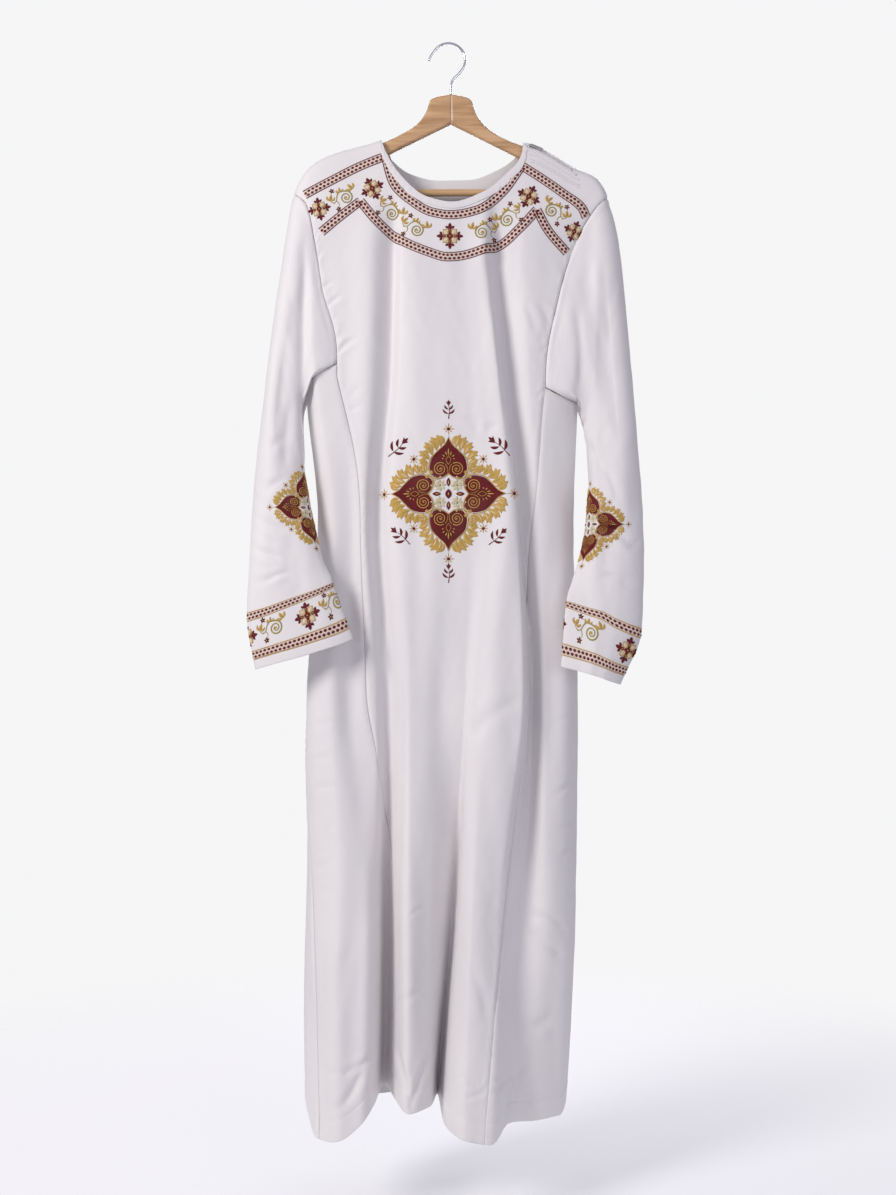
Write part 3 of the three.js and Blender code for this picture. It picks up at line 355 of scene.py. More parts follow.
class Panel:
    """Front (sign -1) or back (1). A column hangs from each point of the shoulders and neck; its rows go
    down beside the armholes to the underarm, then along the folds to the hem."""

    def __init__(self, neck, corners, seams, sign, neck_count, upper_rows, skirt_rows):
        self.sign = sign
        self.seams = [SEAMS[name] for name in seams]
        self.neck = Curve(neck["x"], neck["z"])
        self.neck_ends = neck["x"][0], neck["x"][-1]
        shares = np.array([*FINE_EDGE, *np.linspace(0.12, 1, 12)])
        right = shoulder_columns("right", shares)
        left = shoulder_columns("left", shares)[::-1]
        between, t = neck_columns(self.neck, *self.neck_ends, neck_count)
        self.top_x = np.concatenate([right, between, left])
        self.top_z = np.concatenate([ridge(right), self.neck(between), ridge(left)])
        self.ends = self.top_x[0], self.top_x[-1]
        self.u = np.concatenate([corners[0] * shares, lerp(*corners, t), lerp(1, corners[1], shares)[::-1]])
        self.neck_first, self.neck_last = len(right) - 1, len(right) + neck_count
        down = np.concatenate([0 * DROPS, np.linspace(0, 1, upper_rows + 1)[1:]])
        drop = np.concatenate([DROPS, np.full(upper_rows, DROPS[-1])])
        upper = self.relaxed(self.upper(self.top_x, self.top_z, self.u, drop, down), down)
        self.upper_rows = len(down)
        foot = self.foot(self.top_x)
        self.points = np.concatenate([upper, self.lower(foot, self.u, skirt_shares(skirt_rows))], 1)

    def lean(self, x):
        """How far a column leans away from the neck's edge, for each millimetre down."""
        low, high = self.neck_ends
        slope = np.clip((self.neck(x + 1) - self.neck(x - 1)) / 2, -1, 1)
        outside = np.where(x < low + 0.01, -smooth(1 - (low - x) / NECK_LEAN_REACH),
                           smooth(1 - (x - high) / NECK_LEAN_REACH))
        return np.where((x > low + 0.01) & (x < high - 0.01), slope, outside)

    def relaxed(self, points, down):
        """Evens out the columns near CROWDED, where those that lean away from the neck crowd their
        neighbours: each point moves towards the middle of its four neighbours, and stays on the cloth."""
        flat = points[..., ::2].copy()
        gap = np.min([np.hypot(flat[..., 0] - x, flat[..., 1] - z) for x, z in CROWDED], axis=0)
        weight = smooth(1.3 - gap / CROWDED_REACH) * smooth(down * 30)
        weight[[0, -1]] = 0
        weight[:, -1] = 0
        for _ in range(EVENING_ROUNDS):
            middle = sum(np.roll(flat, step, axis) for step in (1, -1) for axis in (0, 1)) / 4
            flat += weight[..., None] * (middle - flat)
        return np.stack([flat[..., 0], body_y(flat[..., 0], flat[..., 1], self.sign), flat[..., 1]], -1)

    def share(self, x):
        """How far x lies across, from the right shoulder's tip to the left one's."""
        return (x - self.ends[0]) / (self.ends[1] - self.ends[0])

    def foot(self, x):
        """Height of the underarm row."""
        return lerp(ARMHOLES["right"].bottom, ARMHOLES["left"].bottom, self.share(x))

    def upper(self, x, z, u, drop, down):
        """Columns from the points (x, z) of the shoulders and neck, at rows a drop under them and a share
        down."""
        share = self.share(x)
        foot = self.foot(x)
        across, _ = folds_at(foot)
        low, high = (seam(foot) for seam in self.seams)
        foot_share = (across(lerp(low, high, u)) - across(low)) / (across(high) - across(low))
        sides = []
        for hole, seam in zip(ARMHOLES.values(), self.seams):
            height = hole.top - drop - (hole.top - hole.bottom - DROPS[-1]) * down
            bottom = np.array(hole.bottom, float)
            seam_x = folds_at(bottom)[0](seam(bottom))
            sides.append(lerp(hole.x(height), seam_x, smooth(2 * down - 1)))
        depth = drop + (z - foot - DROPS[-1])[:, None] * down
        aside = self.lean(x)[:, None] * drop * (1 - smooth(down))
        part = lerp(share[:, None], foot_share[:, None], smooth(down))
        px, pz = lerp(sides[0], sides[1], part) + aside, z[:, None] - depth
        return np.stack([px, body_y(px, pz, self.sign), pz], -1)

    def lower(self, foot, u, down):
        """The skirt's columns, from the underarm to the hem, along the seams and folds."""
        hem = hem_height(lerp(*(seam(np.array(MEAN_HEM)) for seam in self.seams), u))
        z = lerp(foot[:, None], hem[:, None], down)
        low, high = (seam(z) for seam in self.seams)
        return section(lerp(low, high, u[:, None]), z)


def skirt_shares(rows):
    """Rows from the underarm to the hem, with more of them at the hem's stitching, 30 mm up."""
    stitched = 1 - np.array([36, 33, 31.5, 30, 28.5, 26, 20, 13, 7, 3, 1, 0]) / 1090
    return np.concatenate([np.linspace(0, stitched[0], rows + 1)[1:-1], stitched])


def gore(side, front, back, columns, rows):
    """A side gore, from its front seam round the body's side to its back seam; its top is an arch under the
    sleeve."""
    hole = ARMHOLES[side]
    edge = np.array([0, 0.012, 0.03, 0.055])
    u = np.concatenate([edge, np.linspace(0.09, 0.91, columns), 1 - edge[::-1]])
    wrap = len(FOLDS) if side == "right" else 0
    top = lerp(hole.crown, hole.bottom, (2 * u - 1) ** 2)
    mean = np.array(MEAN_HEM)
    hem = hem_height(lerp(SEAMS[front](mean) + wrap, SEAMS[back](mean), u))
    down = np.concatenate([[0, 0.0011, 0.0027, 0.005], skirt_shares(rows)])
    z = lerp(top[:, None], hem[:, None], down)
    line = lerp(SEAMS[front](z) + wrap, SEAMS[back](z), u[:, None])
    return section(line, z), u


class Sleeve:
    """A tube through the sleeve's lines. Its first ring is the armhole that the body leaves, which fades
    out."""

    def __init__(self, side, front, back, gore_top, gore_u, ring_count, stations):
        hole = ARMHOLES[side]
        self.side = -1 if side == "right" else 1
        column = 0 if side == "right" else -1
        rows = np.unique(np.round(np.linspace(0, front.upper_rows - 1, ring_count)).astype(int))
        back_rows = np.unique(np.round(np.linspace(0, back.upper_rows - 1, ring_count)).astype(int))[1:][::-1]
        front_edge = front.points[column, rows]
        back_edge = back.points[column, back_rows]
        self.ring = np.concatenate([front_edge, gore_top[1:-1], back_edge])
        self.turns = np.concatenate([
            hole.turn(front_edge[:, 2]), lerp(CORNER_TURN, WHOLE_TURN - CORNER_TURN, gore_u[1:-1]),
            WHOLE_TURN - hole.turn(back_edge[:, 2])])
        rows = {name: np.array(points, float) for name, points in SLEEVE_LINES[side].items()}
        middle = (rows["outer"][:, 1] + rows["inner"][:, 1]) / 2
        around = [rows[name] for name in SLEEVE_ORDER]
        for name in SLEEVE_ORDER[4:0:-1]:
            behind = rows[name].copy()
            behind[:, 1] = middle + (middle - behind[:, 1]) * SLEEVE_BACK
            around.append(behind)
        steps = np.arange(len(middle))
        self.lines = [[Curve(steps, line[:, axis]) for line in around] for axis in range(3)]
        self.offset = RingPoints(self.turns, self.ring - self.shape(self.turns, 0 * self.turns))
        self.stations = stations
        self.points = self.at(self.turns[:, None], stations[None, :])

    def shape(self, turn, t):
        """The tube through the lines alone."""
        turn, t = np.broadcast_arrays(turn, t)
        return np.stack([Loop(np.stack([line(t) for line in lines], -1))(turn) for lines in self.lines], -1)

    def lining(self, turn, t):
        turn, t = np.broadcast_arrays(np.asarray(turn, float), np.asarray(t, float))
        hold = np.clip(1 - t / ARMHOLE_FADE, 0, 1) ** 2
        return self.shape(turn, t) + self.offset(turn) * hold[..., None]

    def normal(self, turn, t):
        """The way out, from the surface's slopes along the sleeve and round it."""
        step = 0.03
        round_it = self.lining(turn + step, t) - self.lining(turn - step, t)
        down_it = self.lining(turn, np.minimum(t + step, 7)) - self.lining(turn, np.maximum(t - step, 0))
        return unit(np.cross(round_it, down_it)) * self.side

    def at(self, turn, t, out=0.0):
        """The sleeve's outer surface at a line and a station: its lines, moved out below the armhole."""
        swell = SLEEVE_SWELL * smooth(np.asarray(t) / SWELL_FADE) + out
        return self.lining(turn, t) + self.normal(turn, t) * np.asarray(swell)[..., None]


class RingPoints:
    """Points given at rising turns round a ring, blended straight between them."""

    def __init__(self, turns, points):
        self.turns, self.points = turns, points

    def __call__(self, turn):
        return np.stack([np.interp(turn, self.turns, self.points[:, axis], period=WHOLE_TURN)
                         for axis in range(3)], -1)


# ---- meshes ----

def make_object(name, positions, faces, materials, flat_faces=None, uv=None, material_of=None):
    """A mesh from positions in millimetres and lists of faces."""
    mesh = bpy.data.meshes.new(name)
    mesh.from_pydata((positions * MM).tolist(), [], faces)
    mesh.shade_smooth()
    if uv is not None:
        layer = mesh.uv_layers.new(name="cloth")
        corner = np.empty(len(mesh.loops), np.int32)
        mesh.loops.foreach_get("vertex_index", corner)
        layer.data.foreach_set("uv", uv[corner].astype(np.float32).ravel())
    if flat_faces is not None:
        sharp = mesh.attributes.get("sharp_face") or mesh.attributes.new("sharp_face", "BOOLEAN", "FACE")
        sharp.data.foreach_set("value", flat_faces)
    for material in materials:
        mesh.materials.append(material)
    if material_of is not None:
        mesh.polygons.foreach_set("material_index", np.asarray(material_of, np.int32))
    mesh.update()
    thing = bpy.data.objects.new(name, mesh)
    bpy.context.scene.collection.objects.link(thing)
    return thing


def dressed(thing, slot, *nodes, body="garment"):
    """Attaches a piece to the body it rides on, and hides the nodes that it stands in for. The slot is not
    used.
    """
    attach(thing, body)
    if nodes:
        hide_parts(*nodes)
    return thing


def grid_normals(points, closed, flip):
    """Each point's way out: the way to the next column, crossed with the way down."""
    if closed:
        across = np.roll(points, -1, 0) - np.roll(points, 1, 0)
    else:
        across = np.gradient(points, axis=0)
    out = np.cross(across, np.gradient(points, axis=1))
    return unit(-out if flip else out)


def shell(name, outer, normals, thickness, material, closed=False, flip=False):
    """A closed shell: the outer grid, the same moved in along its normals, and rims between them."""
    columns, rows = outer.shape[:2]
    inner = outer - normals * thickness
    index = np.arange(columns * rows).reshape(columns, rows)
    if closed:
        index = np.concatenate([index, index[:1]])
    a, b, c, d = index[:-1, :-1], index[1:, :-1], index[1:, 1:], index[:-1, 1:]
    layer = columns * rows
    top = np.stack([a, b, c, d], -1).reshape(-1, 4)
    under = layer + top[:, ::-1]
    rims = [
        np.stack([index[1:, 0], index[:-1, 0], layer + index[:-1, 0], layer + index[1:, 0]], -1),
        np.stack([index[:-1, -1], index[1:, -1], layer + index[1:, -1], layer + index[:-1, -1]], -1),
    ]
    if not closed:
        rims += [
            np.stack([index[0, 1:], layer + index[0, 1:], layer + index[0, :-1], index[0, :-1]], -1),
            np.stack([index[-1, 1:], index[-1, :-1], layer + index[-1, :-1], layer + index[-1, 1:]], -1),
        ]
    faces = np.concatenate([top, under, *rims])
    if flip:
        faces = faces[:, ::-1]
    flat_faces = np.arange(len(faces)) >= 2 * len(top)
    across = lengths(outer, 0).mean(1, keepdims=True) + 0 * outer[..., 0]
    along = lengths(outer, 1)[:, -1:] - lengths(outer, 1)
    uv = np.stack([across, along], -1).reshape(-1, 2) * MM
    positions = np.concatenate([outer.reshape(-1, 3), inner.reshape(-1, 3)])
    return make_object(name, positions, faces.tolist(), [material], flat_faces, np.concatenate([uv, uv]))


# ---- creases, seams and soft unevenness ----

# Creases of the body, as x and z at both ends, how far the middle bows aside, half the width, and the
# height: below 0 it is a trough.
BODY_CREASES = [
    (-166, -468, -141, -444, 2, 3, -2.2), (163, -428, 186, -441, -2, 3, -2),
    (152, -468, 173, -478, 1, 3, -1.8), (-201, -1518, -160, -1519, 2, 4, -2.2),
    (-160, -1519, -110, -1494, -4, 4, -2.6), (-122, -1505, -160, -1570, 5, 5, -3),
    (-77, -1487, -55, -1570, 3, 4, -2.6), (-27, -1496, -55, -1570, -3, 4, -2.4),
    (17, -1519, 46, -1537, 0, 3, -1.8), (76, -1519, 49, -1537, 0, 3, -1.6),
    (20, -1550, 105, -1534, 3, 3, -2), (126, -1296, 176, -1322, 4, 5, -3),
    (120, -1319, 176, -1363, -4, 5, -2.6), (126, -1461, 150, -1458, 2, 8, -3),
    (123, -1505, 82, -1593, -6, 5, -3), (-57, -1290, -33, -1282, 1, 3, -1.5),
    (-20, -1268, -5, -1256, 1, 3, -1.4), (-207, -1022, -163, -1013, 2, 3, -1.6),
    (-205, -1069, -169, -1057, -2, 3, -1.5), (-201, -1113, -166, -1107, 2, 4, -1.8),
    (-189, -1187, -163, -1157, 3, 3, -1.7), (-201, -1228, -166, -1213, -2, 4, -1.6),
    (-198, -1265, -169, -1259, 1, 3, -1.4), (158, -1013, 189, -1004, 1, 3, -1.6),
    (158, -1123, 189, -1101, 2, 3, -1.8), (164, -1172, 189, -1160, -1, 3, -1.5),
    (167, -1216, 188, -1201, 2, 4, -1.5), (170, -1282, 188, -1269, 1, 3, -1.3),
    (26, -561, 46, -584, 3, 6, -1.2), (-54, -589, -36, -606, -3, 6, -1),
    (55, -586, 71, -575, 2, 5, -1), (-207, -329, -186, -319, 2, 3, -1.4),
    (-195, -376, -175, -362, 2, 3, -1.6), (-186, -396, -160, -378, -2, 3, -1.5),
    (-192, -435, -166, -429, 2, 3, -1.4), (170, -369, 189, -354, 2, 4, -1.6),
    (135, -391, 152, -435, 3, 5, -1.4), (111, -391, 129, -438, 3, 5, -1.1),
    (136, -465, 152, -457, 1, 3, -1.3), (132, -531, 147, -521, 1, 3, -1.5),
    (-145, -531, -133, -516, 1, 3, -1.4), (-147, -553, -130, -544, 1, 3, -1.3),
    (-136, -921, -113, -892, 3, 6, -1.1), (32, -1039, 105, -980, 10, 9, -1.3),
    (-101, -833, -113, -951, 4, 8, -1.2), (32, -1363, 55, -1437, 4, 7, -1.5),
    (-145, -1334, -154, -1422, -4, 6, -1.5), (-71, -1422, -36, -1400, 3, 5, -1.2),
]
SLEEVE_CREASES = {
    "right": [
        (-281, -686, -241, -656, 4, 5, -2.2), (-275, -715, -233, -730, -3, 5, -2),
        (-284, -762, -245, -774, 3, 5, -1.8), (-275, -811, -233, -792, 3, 4, -1.6),
        (-214, -303, -216, -509, 0, 6, -3), (-216, -509, -203, -642, -2, 6, -3.2),
        (-203, -642, -176, -796, 3, 6, -3), (-245, -435, -254, -583, 3, 8, -2),
        (-233, -538, -239, -642, -4, 7, -1.6), (-263, -612, -245, -597, 2, 5, -1.4),
        (-225, -317, -242, -391, 2, 6, -1.4),
    ],
    "left": [
        (219, -715, 282, -771, 5, 5, -2.6), (223, -796, 270, -811, 3, 5, -1.8),
        (208, -597, 223, -642, 2, 5, -1.6), (232, -391, 241, -450, 2, 5, -1.5),
        (225, -303, 214, -568, 0, 9, 3.2), (214, -568, 210, -827, 2, 8, 2.6),
        (244, -480, 256, -597, -4, 9, -1.9), (267, -642, 276, -715, 3, 6, -1.5),
        (188, -391, 197, -509, 3, 6, -2), (232, -642, 247, -686, 2, 5, -1.4),
        (189, -583, 208, -568, 2, 4, -1.6),
    ],
}
LIP = 0.42                            # height of the soft lips beside a crease, against its own
HEM_ALLOWANCE = 30
CUFF_ALLOWANCE = 15
CUFF_STIFFNESS = 0.6                  # share of the relief that a cuff's band takes away
BACK_SHIFT = (9, 22)                  # of the back's creases, against the front's mirrored
# Unevenness of the body and of the skirt: height, lengths across and down, and the front's seed.
BODY_WAVES = [(0.28, 48, 210, 3), (0.14, 26, 70, 5)]
SKIRT_WAVES = (1.7, 72, 460, 7)
CUFF_DEPTH = 86                       # from the cuff band's top to the sleeve's hem


def creases(x, z, rows):
    """A crease falls off as exp(-(aside / width) squared) across its bowed line, has a lower lip of the
    other sign on either side, and fades towards both ends."""
    height = np.zeros_like(x)
    for x0, z0, x1, z1, bow, width, depth in rows:
        length = math.hypot(x1 - x0, z1 - z0)
        way = np.array([x1 - x0, z1 - z0]) / length
        t = ((x - x0) * way[0] + (z - z0) * way[1]) / length
        aside = (z - z0) * way[0] - (x - x0) * way[1] - bow * 4 * t * (1 - t)
        lips = np.exp(-((np.abs(aside) - 2 * width) / (1.3 * width)) ** 2)
        fade = smooth((t + 0.1) / 0.35) * smooth((1.1 - t) / 0.35)
        height += depth * fade * (np.exp(-(aside / width) ** 2) - LIP * lips)
    return height


def wobble(a, b, length_a, length_b, seed, waves=8):
    """Soft unevenness: a sum of sine waves of mixed lengths and slants, with fixed phases, about 1 high."""
    rng = np.random.default_rng(seed)
    turns_a = rng.uniform(0.5, 1.7, waves) / length_a
    turns_b = rng.uniform(-1.5, 1.5, waves) / length_b
    phases = rng.uniform(0, 2 * math.pi, waves)
    total = np.zeros(np.broadcast(a, b).shape)
    for turn_a, turn_b, phase in zip(turns_a, turns_b, phases):
        total += np.sin(2 * math.pi * (turn_a * a + turn_b * b) + phase)
    return total / math.sqrt(waves)


def body_relief(x, z, sign):
    """Creases and unevenness of the body's cloth. The back's creases are the front's, mirrored and a little
    lower."""
    back = int(sign > 0)
    place = (-x + BACK_SHIFT[0], z + BACK_SHIFT[1]) if back else (x, z)
    height = creases(*place, BODY_CREASES)
    calm = 1 - 0.75 * smooth((z + 340) / 60)
    for rise, across, down, seed in BODY_WAVES:
        height += rise * calm * wobble(x, z, across, down, seed + back)
    rise, across, down, seed = SKIRT_WAVES
    return height + rise * smooth((-z - 420) / 520) * wobble(x, z, across, down, seed + back)


def seam_relief(distance, along, seed, pull=1.0):
    """Beside a seam the cloth dips into it, rises over the allowance that is pressed aside, and puckers
    unevenly."""
    groove = -0.95 * np.exp(-(distance / 2.3) ** 2) + 0.35 * np.exp(-((distance - 6) / 2.5) ** 2)
    strength = 0.35 + 0.65 * smooth(0.5 + 0.8 * wobble(along, 0 * along, 140, 1, seed + 50))
    puckers = wobble(along, distance, 15, 60, seed, 6) * np.exp(-distance / 11) * smooth(distance / 3)
    return groove + 0.75 * pull * strength * puckers


def hem_relief(up, allowance):
    """The turned-up hem is a little thicker up to its stitching, which sinks in, and its fold is round."""
    thicker = 0.4 * smooth((allowance + 1 - up) / 2)
    return thicker - 0.55 * np.exp(-((up - allowance) / 1.1) ** 2) - 0.3 * np.exp(-(up / 1.2) ** 2)


def part_edges(points, first=True, last=True, top=False):
    """Moves sewn edges in by half the seam's gap, towards the next column or row."""
    moved = points.copy()
    if first:
        moved[0] += unit(points[1] - points[0]) * SEAM_GAP
    if last:
        moved[-1] += unit(points[-2] - points[-1]) * SEAM_GAP
    if top:
        moved[:, 0] += unit(points[:, 1] - points[:, 0]) * SEAM_GAP
    return moved


def body_piece(name, points, sign, flip, seed, nodes, crown=False):
    """A panel or gore with its seams, creases and hem worked in."""
    points = part_edges(points, top=crown)
    normals = grid_normals(points, False, flip)
    across, along = lengths(points, 0), lengths(points, 1)
    side = np.minimum(across, across[-1:] - across)
    height = seam_relief(side, along, seed) + hem_relief(along[:, -1:] - along, HEM_ALLOWANCE)
    if crown:
        height += seam_relief(along, across, seed + 1)
    height += body_relief(points[..., 0], points[..., 2], sign) * smooth(side / 6)
    outer = points + normals * height[..., None]
    return dressed(shell(name, outer, normals, CLOTH, CLOTH_FINISH, flip=flip), "cloth", *nodes)


def sleeve_relief(points, side):
    """Creases and unevenness of a sleeve's cloth."""
    x, z = points[..., 0], points[..., 2]
    height = creases(x, z, SLEEVE_CREASES[side]) + 0.35 * wobble(x, z, 40, 170, 11)
    return height + 0.15 * wobble(x, z + points[..., 1], 24, 60, 12)


def stillness(station):
    """How much of the relief is left: less from just above the cuff's stiff band on."""
    return 1 - CUFF_STIFFNESS * smooth((station - 5.6) / 0.5)


def sleeve_piece(sleeve, side):
    """A sleeve with its armhole's seam, creases and cuff hem worked in."""
    points = part_edges(sleeve.points, False, False, True)
    flip = side == "right"
    normals = grid_normals(points, True, flip)
    along = lengths(points, 1)
    round_it = lengths(points, 0)
    height = seam_relief(along, round_it, 21) + hem_relief(along[:, -1:] - along, CUFF_ALLOWANCE)
    height += sleeve_relief(points, side) * smooth(along / 12) * stillness(sleeve.stations)
    outer = points + normals * height[..., None]
    piece = shell(f"sleeve_of_{side}", outer, normals, CLOTH, CLOTH_FINISH, True, flip)
    return dressed(piece, "cloth", f"sleeve_{side}_upper", f"sleeve_{side}_cuff")


# ---- where thread and trimmings lie on the cloth ----

def front_cloth(flat):
    """Points and ways out of the front's cloth at places (x, z)."""
    x, z = flat[..., 0], flat[..., 1]
    step = 0.6
    y = body_y(x, z, -1)
    slope_x = (body_y(x + step, z, -1) - body_y(x - step, z, -1)) / (2 * step)
    slope_z = (body_y(x, z + step, -1) - body_y(x, z - step, -1)) / (2 * step)
    out = unit(np.stack([slope_x, -np.ones_like(x), slope_z], -1))
    return np.stack([x, y, z], -1) + out * body_relief(x, z, -1)[..., None], out


class OnSleeve:
    """Places (a, b) in millimetres beside a sleeve's inner edge: b up from a level, and a round the sleeve
    at that height, towards the front, from a line that stands shift before the edge. A table holds the
    turns and stations."""

    def __init__(self, sleeve, side, level, shift):
        self.sleeve, self.side = sleeve, side
        self.pitch = 4.0
        self.heights = np.arange(-96, 97, self.pitch)
        self.reach = np.arange(-90.0, 91.0)
        turns = np.linspace(0.5, 9.5, 181)
        rows = np.linspace(1.4, 6.2, 97)
        drops = -sleeve.at(turns[:, None], rows[None, :])[..., 2]
        stations = np.stack([np.interp(-level - self.heights, drop, rows) for drop in drops])
        points = sleeve.at(turns[:, None], stations)
        inward = points[50:131, :, 0] * (1 if side == "right" else -1)
        edge = np.polyval(np.polyfit(self.heights, turns[50 + inward.argmax(0)], 3), self.heights)
        self.table = np.zeros((2, len(self.heights), len(self.reach)))
        for k, run in enumerate(lengths(points, 0).T):
            at = np.interp(edge[k], turns, run) - self.reach - shift
            self.table[0, k] = np.interp(at, run, turns)
            self.table[1, k] = np.interp(at, run, stations[:, k])

    def __call__(self, flat):
        row = np.clip((flat[..., 1] - self.heights[0]) / self.pitch, 0, len(self.heights) - 1.001)
        column = np.clip(flat[..., 0] - self.reach[0], 0, len(self.reach) - 1.001)
        i, j = row.astype(int), column.astype(int)
        lower = lerp(self.table[:, i, j], self.table[:, i, j + 1], column - j)
        upper = lerp(self.table[:, i + 1, j], self.table[:, i + 1, j + 1], column - j)
        turn, t = lerp(lower, upper, row - i)
        out = self.sleeve.normal(turn, t)
        points = self.sleeve.at(turn, t)
        return points + out * (sleeve_relief(points, self.side) * stillness(t))[..., None], out


class OnCuff:
    """Places on a cuff's band: a round it, and b up from its top, where the whole cuff counts as
    CUFF_DEPTH."""

    def __init__(self, sleeve, side, line, station):
        self.sleeve, self.side = sleeve, side
        self.turns = np.linspace(line - 5, line + 5, 401)
        ring = sleeve.at(self.turns, np.full(401, station))
        runs = lengths(ring, 0)
        self.runs, self.length = runs - runs[200], runs[-1]

    def __call__(self, flat):
        turn = np.interp(flat[..., 0], self.runs, self.turns)
        t = np.clip(6 - flat[..., 1] / CUFF_DEPTH, 6, 7)
        out = self.sleeve.normal(turn, t)
        points = self.sleeve.at(turn, t)
        return points + out * ((1 - CUFF_STIFFNESS) * sleeve_relief(points, self.side))[..., None], out


# ---- embroidery ----
# A drawing is a list of ribbons of thread (left edge, right edge, thread, height), each edge as points on
# the flat.

def ribbon_of(line, width, thread, height=0.8):
    """A ribbon along a line of points, as wide at each as width says."""
    line = np.asarray(line, float)
    way = unit(np.gradient(line, axis=0))
    half = np.asarray(width, float) / 2 * np.ones(len(line))
    aside = left_of(way) * half[:, None]
    return line + aside, line - aside, thread, height


def almond(start, end, width, thread, bow=0.0, height=0.8, steps=7):
    """A pointed oval from start to end, its middle line bowed aside: its width follows a sine."""
    t = np.linspace(0, 1, steps)
    start, end = np.asarray(start, float), np.asarray(end, float)
    way = end - start
    aside = left_of(way)
    line = start + np.outer(t, way) + np.outer(4 * t * (1 - t) * bow, aside)
    return ribbon_of(line, np.maximum(width * np.sin(math.pi * t) ** 0.8, 0.12), thread, height)


def dot(centre, radius, thread, height=0.8):
    """A round knot: an almond whose width follows a circle."""
    t = np.array([-1, -0.82, -0.4, 0.4, 0.82, 1])
    line = np.asarray(centre, float) + np.stack([t * radius, 0 * t], -1)
    return ribbon_of(line, np.maximum(2 * radius * np.sqrt(1 - t * t), 0.2), thread, height)


def stem(points, width, thread, height=0.6, steps=12, taper=True):
    """A line of stitches along a smooth curve through points."""
    points = np.asarray(points, float)
    runs = lengths(points, 0)
    at = np.linspace(0, runs[-1], steps)
    line = np.stack([Curve(runs, points[:, axis])(at) for axis in (0, 1)], -1)
    t = np.linspace(0, 1, steps)
    return ribbon_of(line, width * (1 - 0.6 * t if taper else 1 + 0 * t), thread, height)


def scroll(centre, radius, start, turns, width, thread, height=0.7, steps=26):
    """A spiral: its radius shrinks evenly as it winds in."""
    t = np.linspace(0, 1, steps)
    angle = start + 2 * math.pi * turns * t
    reach = radius * (1 - 0.82 * t)
    line = np.asarray(centre, float) + np.stack([reach * np.cos(angle), reach * np.sin(angle)], -1)
    return ribbon_of(line, width * (1 - 0.35 * t), thread, height)


def placed(drawing, at, angle=0.0, scale=1.0, mirror=False):
    """The drawing turned, scaled and moved, and mirrored across its own upright first. A small one lies
    flatter."""
    lift = min(1, 0.1 + scale)
    turn = np.array([[math.cos(angle), math.sin(angle)], [-math.sin(angle), math.cos(angle)]]) * scale
    if mirror:
        turn = np.array([[-1, 0], [0, 1]]) @ turn
    return [(left @ turn + at, right @ turn + at, thread, height * lift)
            for left, right, thread, height in drawing]


PROFILES = {
    5: ([0, 0.14, 0.5, 0.86, 1], [-0.45, 0.72, 1, 0.72, -0.45]),
    9: ([0, 0.04, 0.14, 0.3, 0.5, 0.7, 0.86, 0.96, 1], [-0.45, 0.55, 0.85, 0.97, 1, 0.97, 0.85, 0.55, -0.45]),
}
WIDE = 9.0                            # past this width in millimetres a ribbon has the finer profile


THREADS = ["burgundy", "gold", "olive", "cream", "sage", "blush"]


def embroider(name, drawing, cloth, threads, *nodes):
    """All ribbons of a drawing as closed strips laid on the cloth. Across, each is arched; its edges sink
    in a little, and its under side is flat."""
    groups = {}
    for left, right, thread, height in drawing:
        wide = np.linalg.norm(left - right, axis=1).max() > WIDE
        kind = len(left), 9 if wide else 5
        groups.setdefault(kind, []).append((left, right, threads.index(thread), height))
    positions, faces, uvs, colours, first = [], [], [], [], 0
    for (steps, across), ribbons in groups.items():
        left, right = (np.stack([row[k] for row in ribbons]) for k in (0, 1))
        thread = np.array([row[2] for row in ribbons])
        height = np.array([row[3] for row in ribbons])
        share, rise = (np.array(column, float) for column in PROFILES[across])
        flat = left[:, :, None] * (1 - share)[:, None] + right[:, :, None] * share[:, None]
        points, out = cloth(flat)
        middle = steps // 2
        way = points[:, middle, across // 2] - points[:, middle - 1, across // 2]
        over = points[:, middle, -1] - points[:, middle, 0]
        turned = (np.cross(way, over) * out[:, middle, across // 2]).sum(-1) < 0
        points[turned], out[turned] = points[turned][:, :, ::-1], out[turned][:, :, ::-1]
        width = np.linalg.norm(left - right, axis=-1)
        full = np.clip(0.35 + 0.65 * width / np.maximum(width.max(1, keepdims=True), 1e-6), 0, 1)
        lift = np.where(rise > 0, rise * height[:, None, None] * full[..., None], rise)
        points = points + out * lift[..., None]
        count = len(ribbons)
        index = first + np.arange(points[..., 0].size).reshape(count, steps, across)
        nxt = np.roll(index, -1, 2)
        quads = np.stack([index[:, :-1], index[:, 1:], nxt[:, 1:], nxt[:, :-1]], -1).reshape(-1, 4)
        faces += quads.tolist() + index[:, 0].tolist() + index[:, -1, ::-1].tolist()
        colours += [np.repeat(thread, (steps - 1) * across), thread, thread]
        along = np.broadcast_to(lengths((left + right) / 2, 1)[..., None], index.shape)
        aside = (share - 0.5) * width[..., None]
        uvs.append(np.stack([along, aside], -1).reshape(-1, 2) * MM)
        positions.append(points.reshape(-1, 3))
        first += index.size
    materials = [THREAD_FINISHES[thread] for thread in threads]
    thing = make_object(name, np.concatenate(positions), faces, materials,
                        uv=np.concatenate(uvs), material_of=np.concatenate(colours))
    return dressed(thing, "cloth", *nodes)


def star(radius, rays=8):
    """Rays of gold round a burgundy knot."""
    drawing = []
    for k in range(rays):
        angle = 2 * math.pi * k / rays
        way = np.array([math.cos(angle), math.sin(angle)])
        reach = radius * (1 if k % 2 == 0 else 0.82)
        drawing.append(almond(way * radius * 0.2, way * reach, radius * 0.22, "gold", height=0.6))
    return drawing + [dot((0, 0), radius * 0.3, "burgundy", 1.0)]


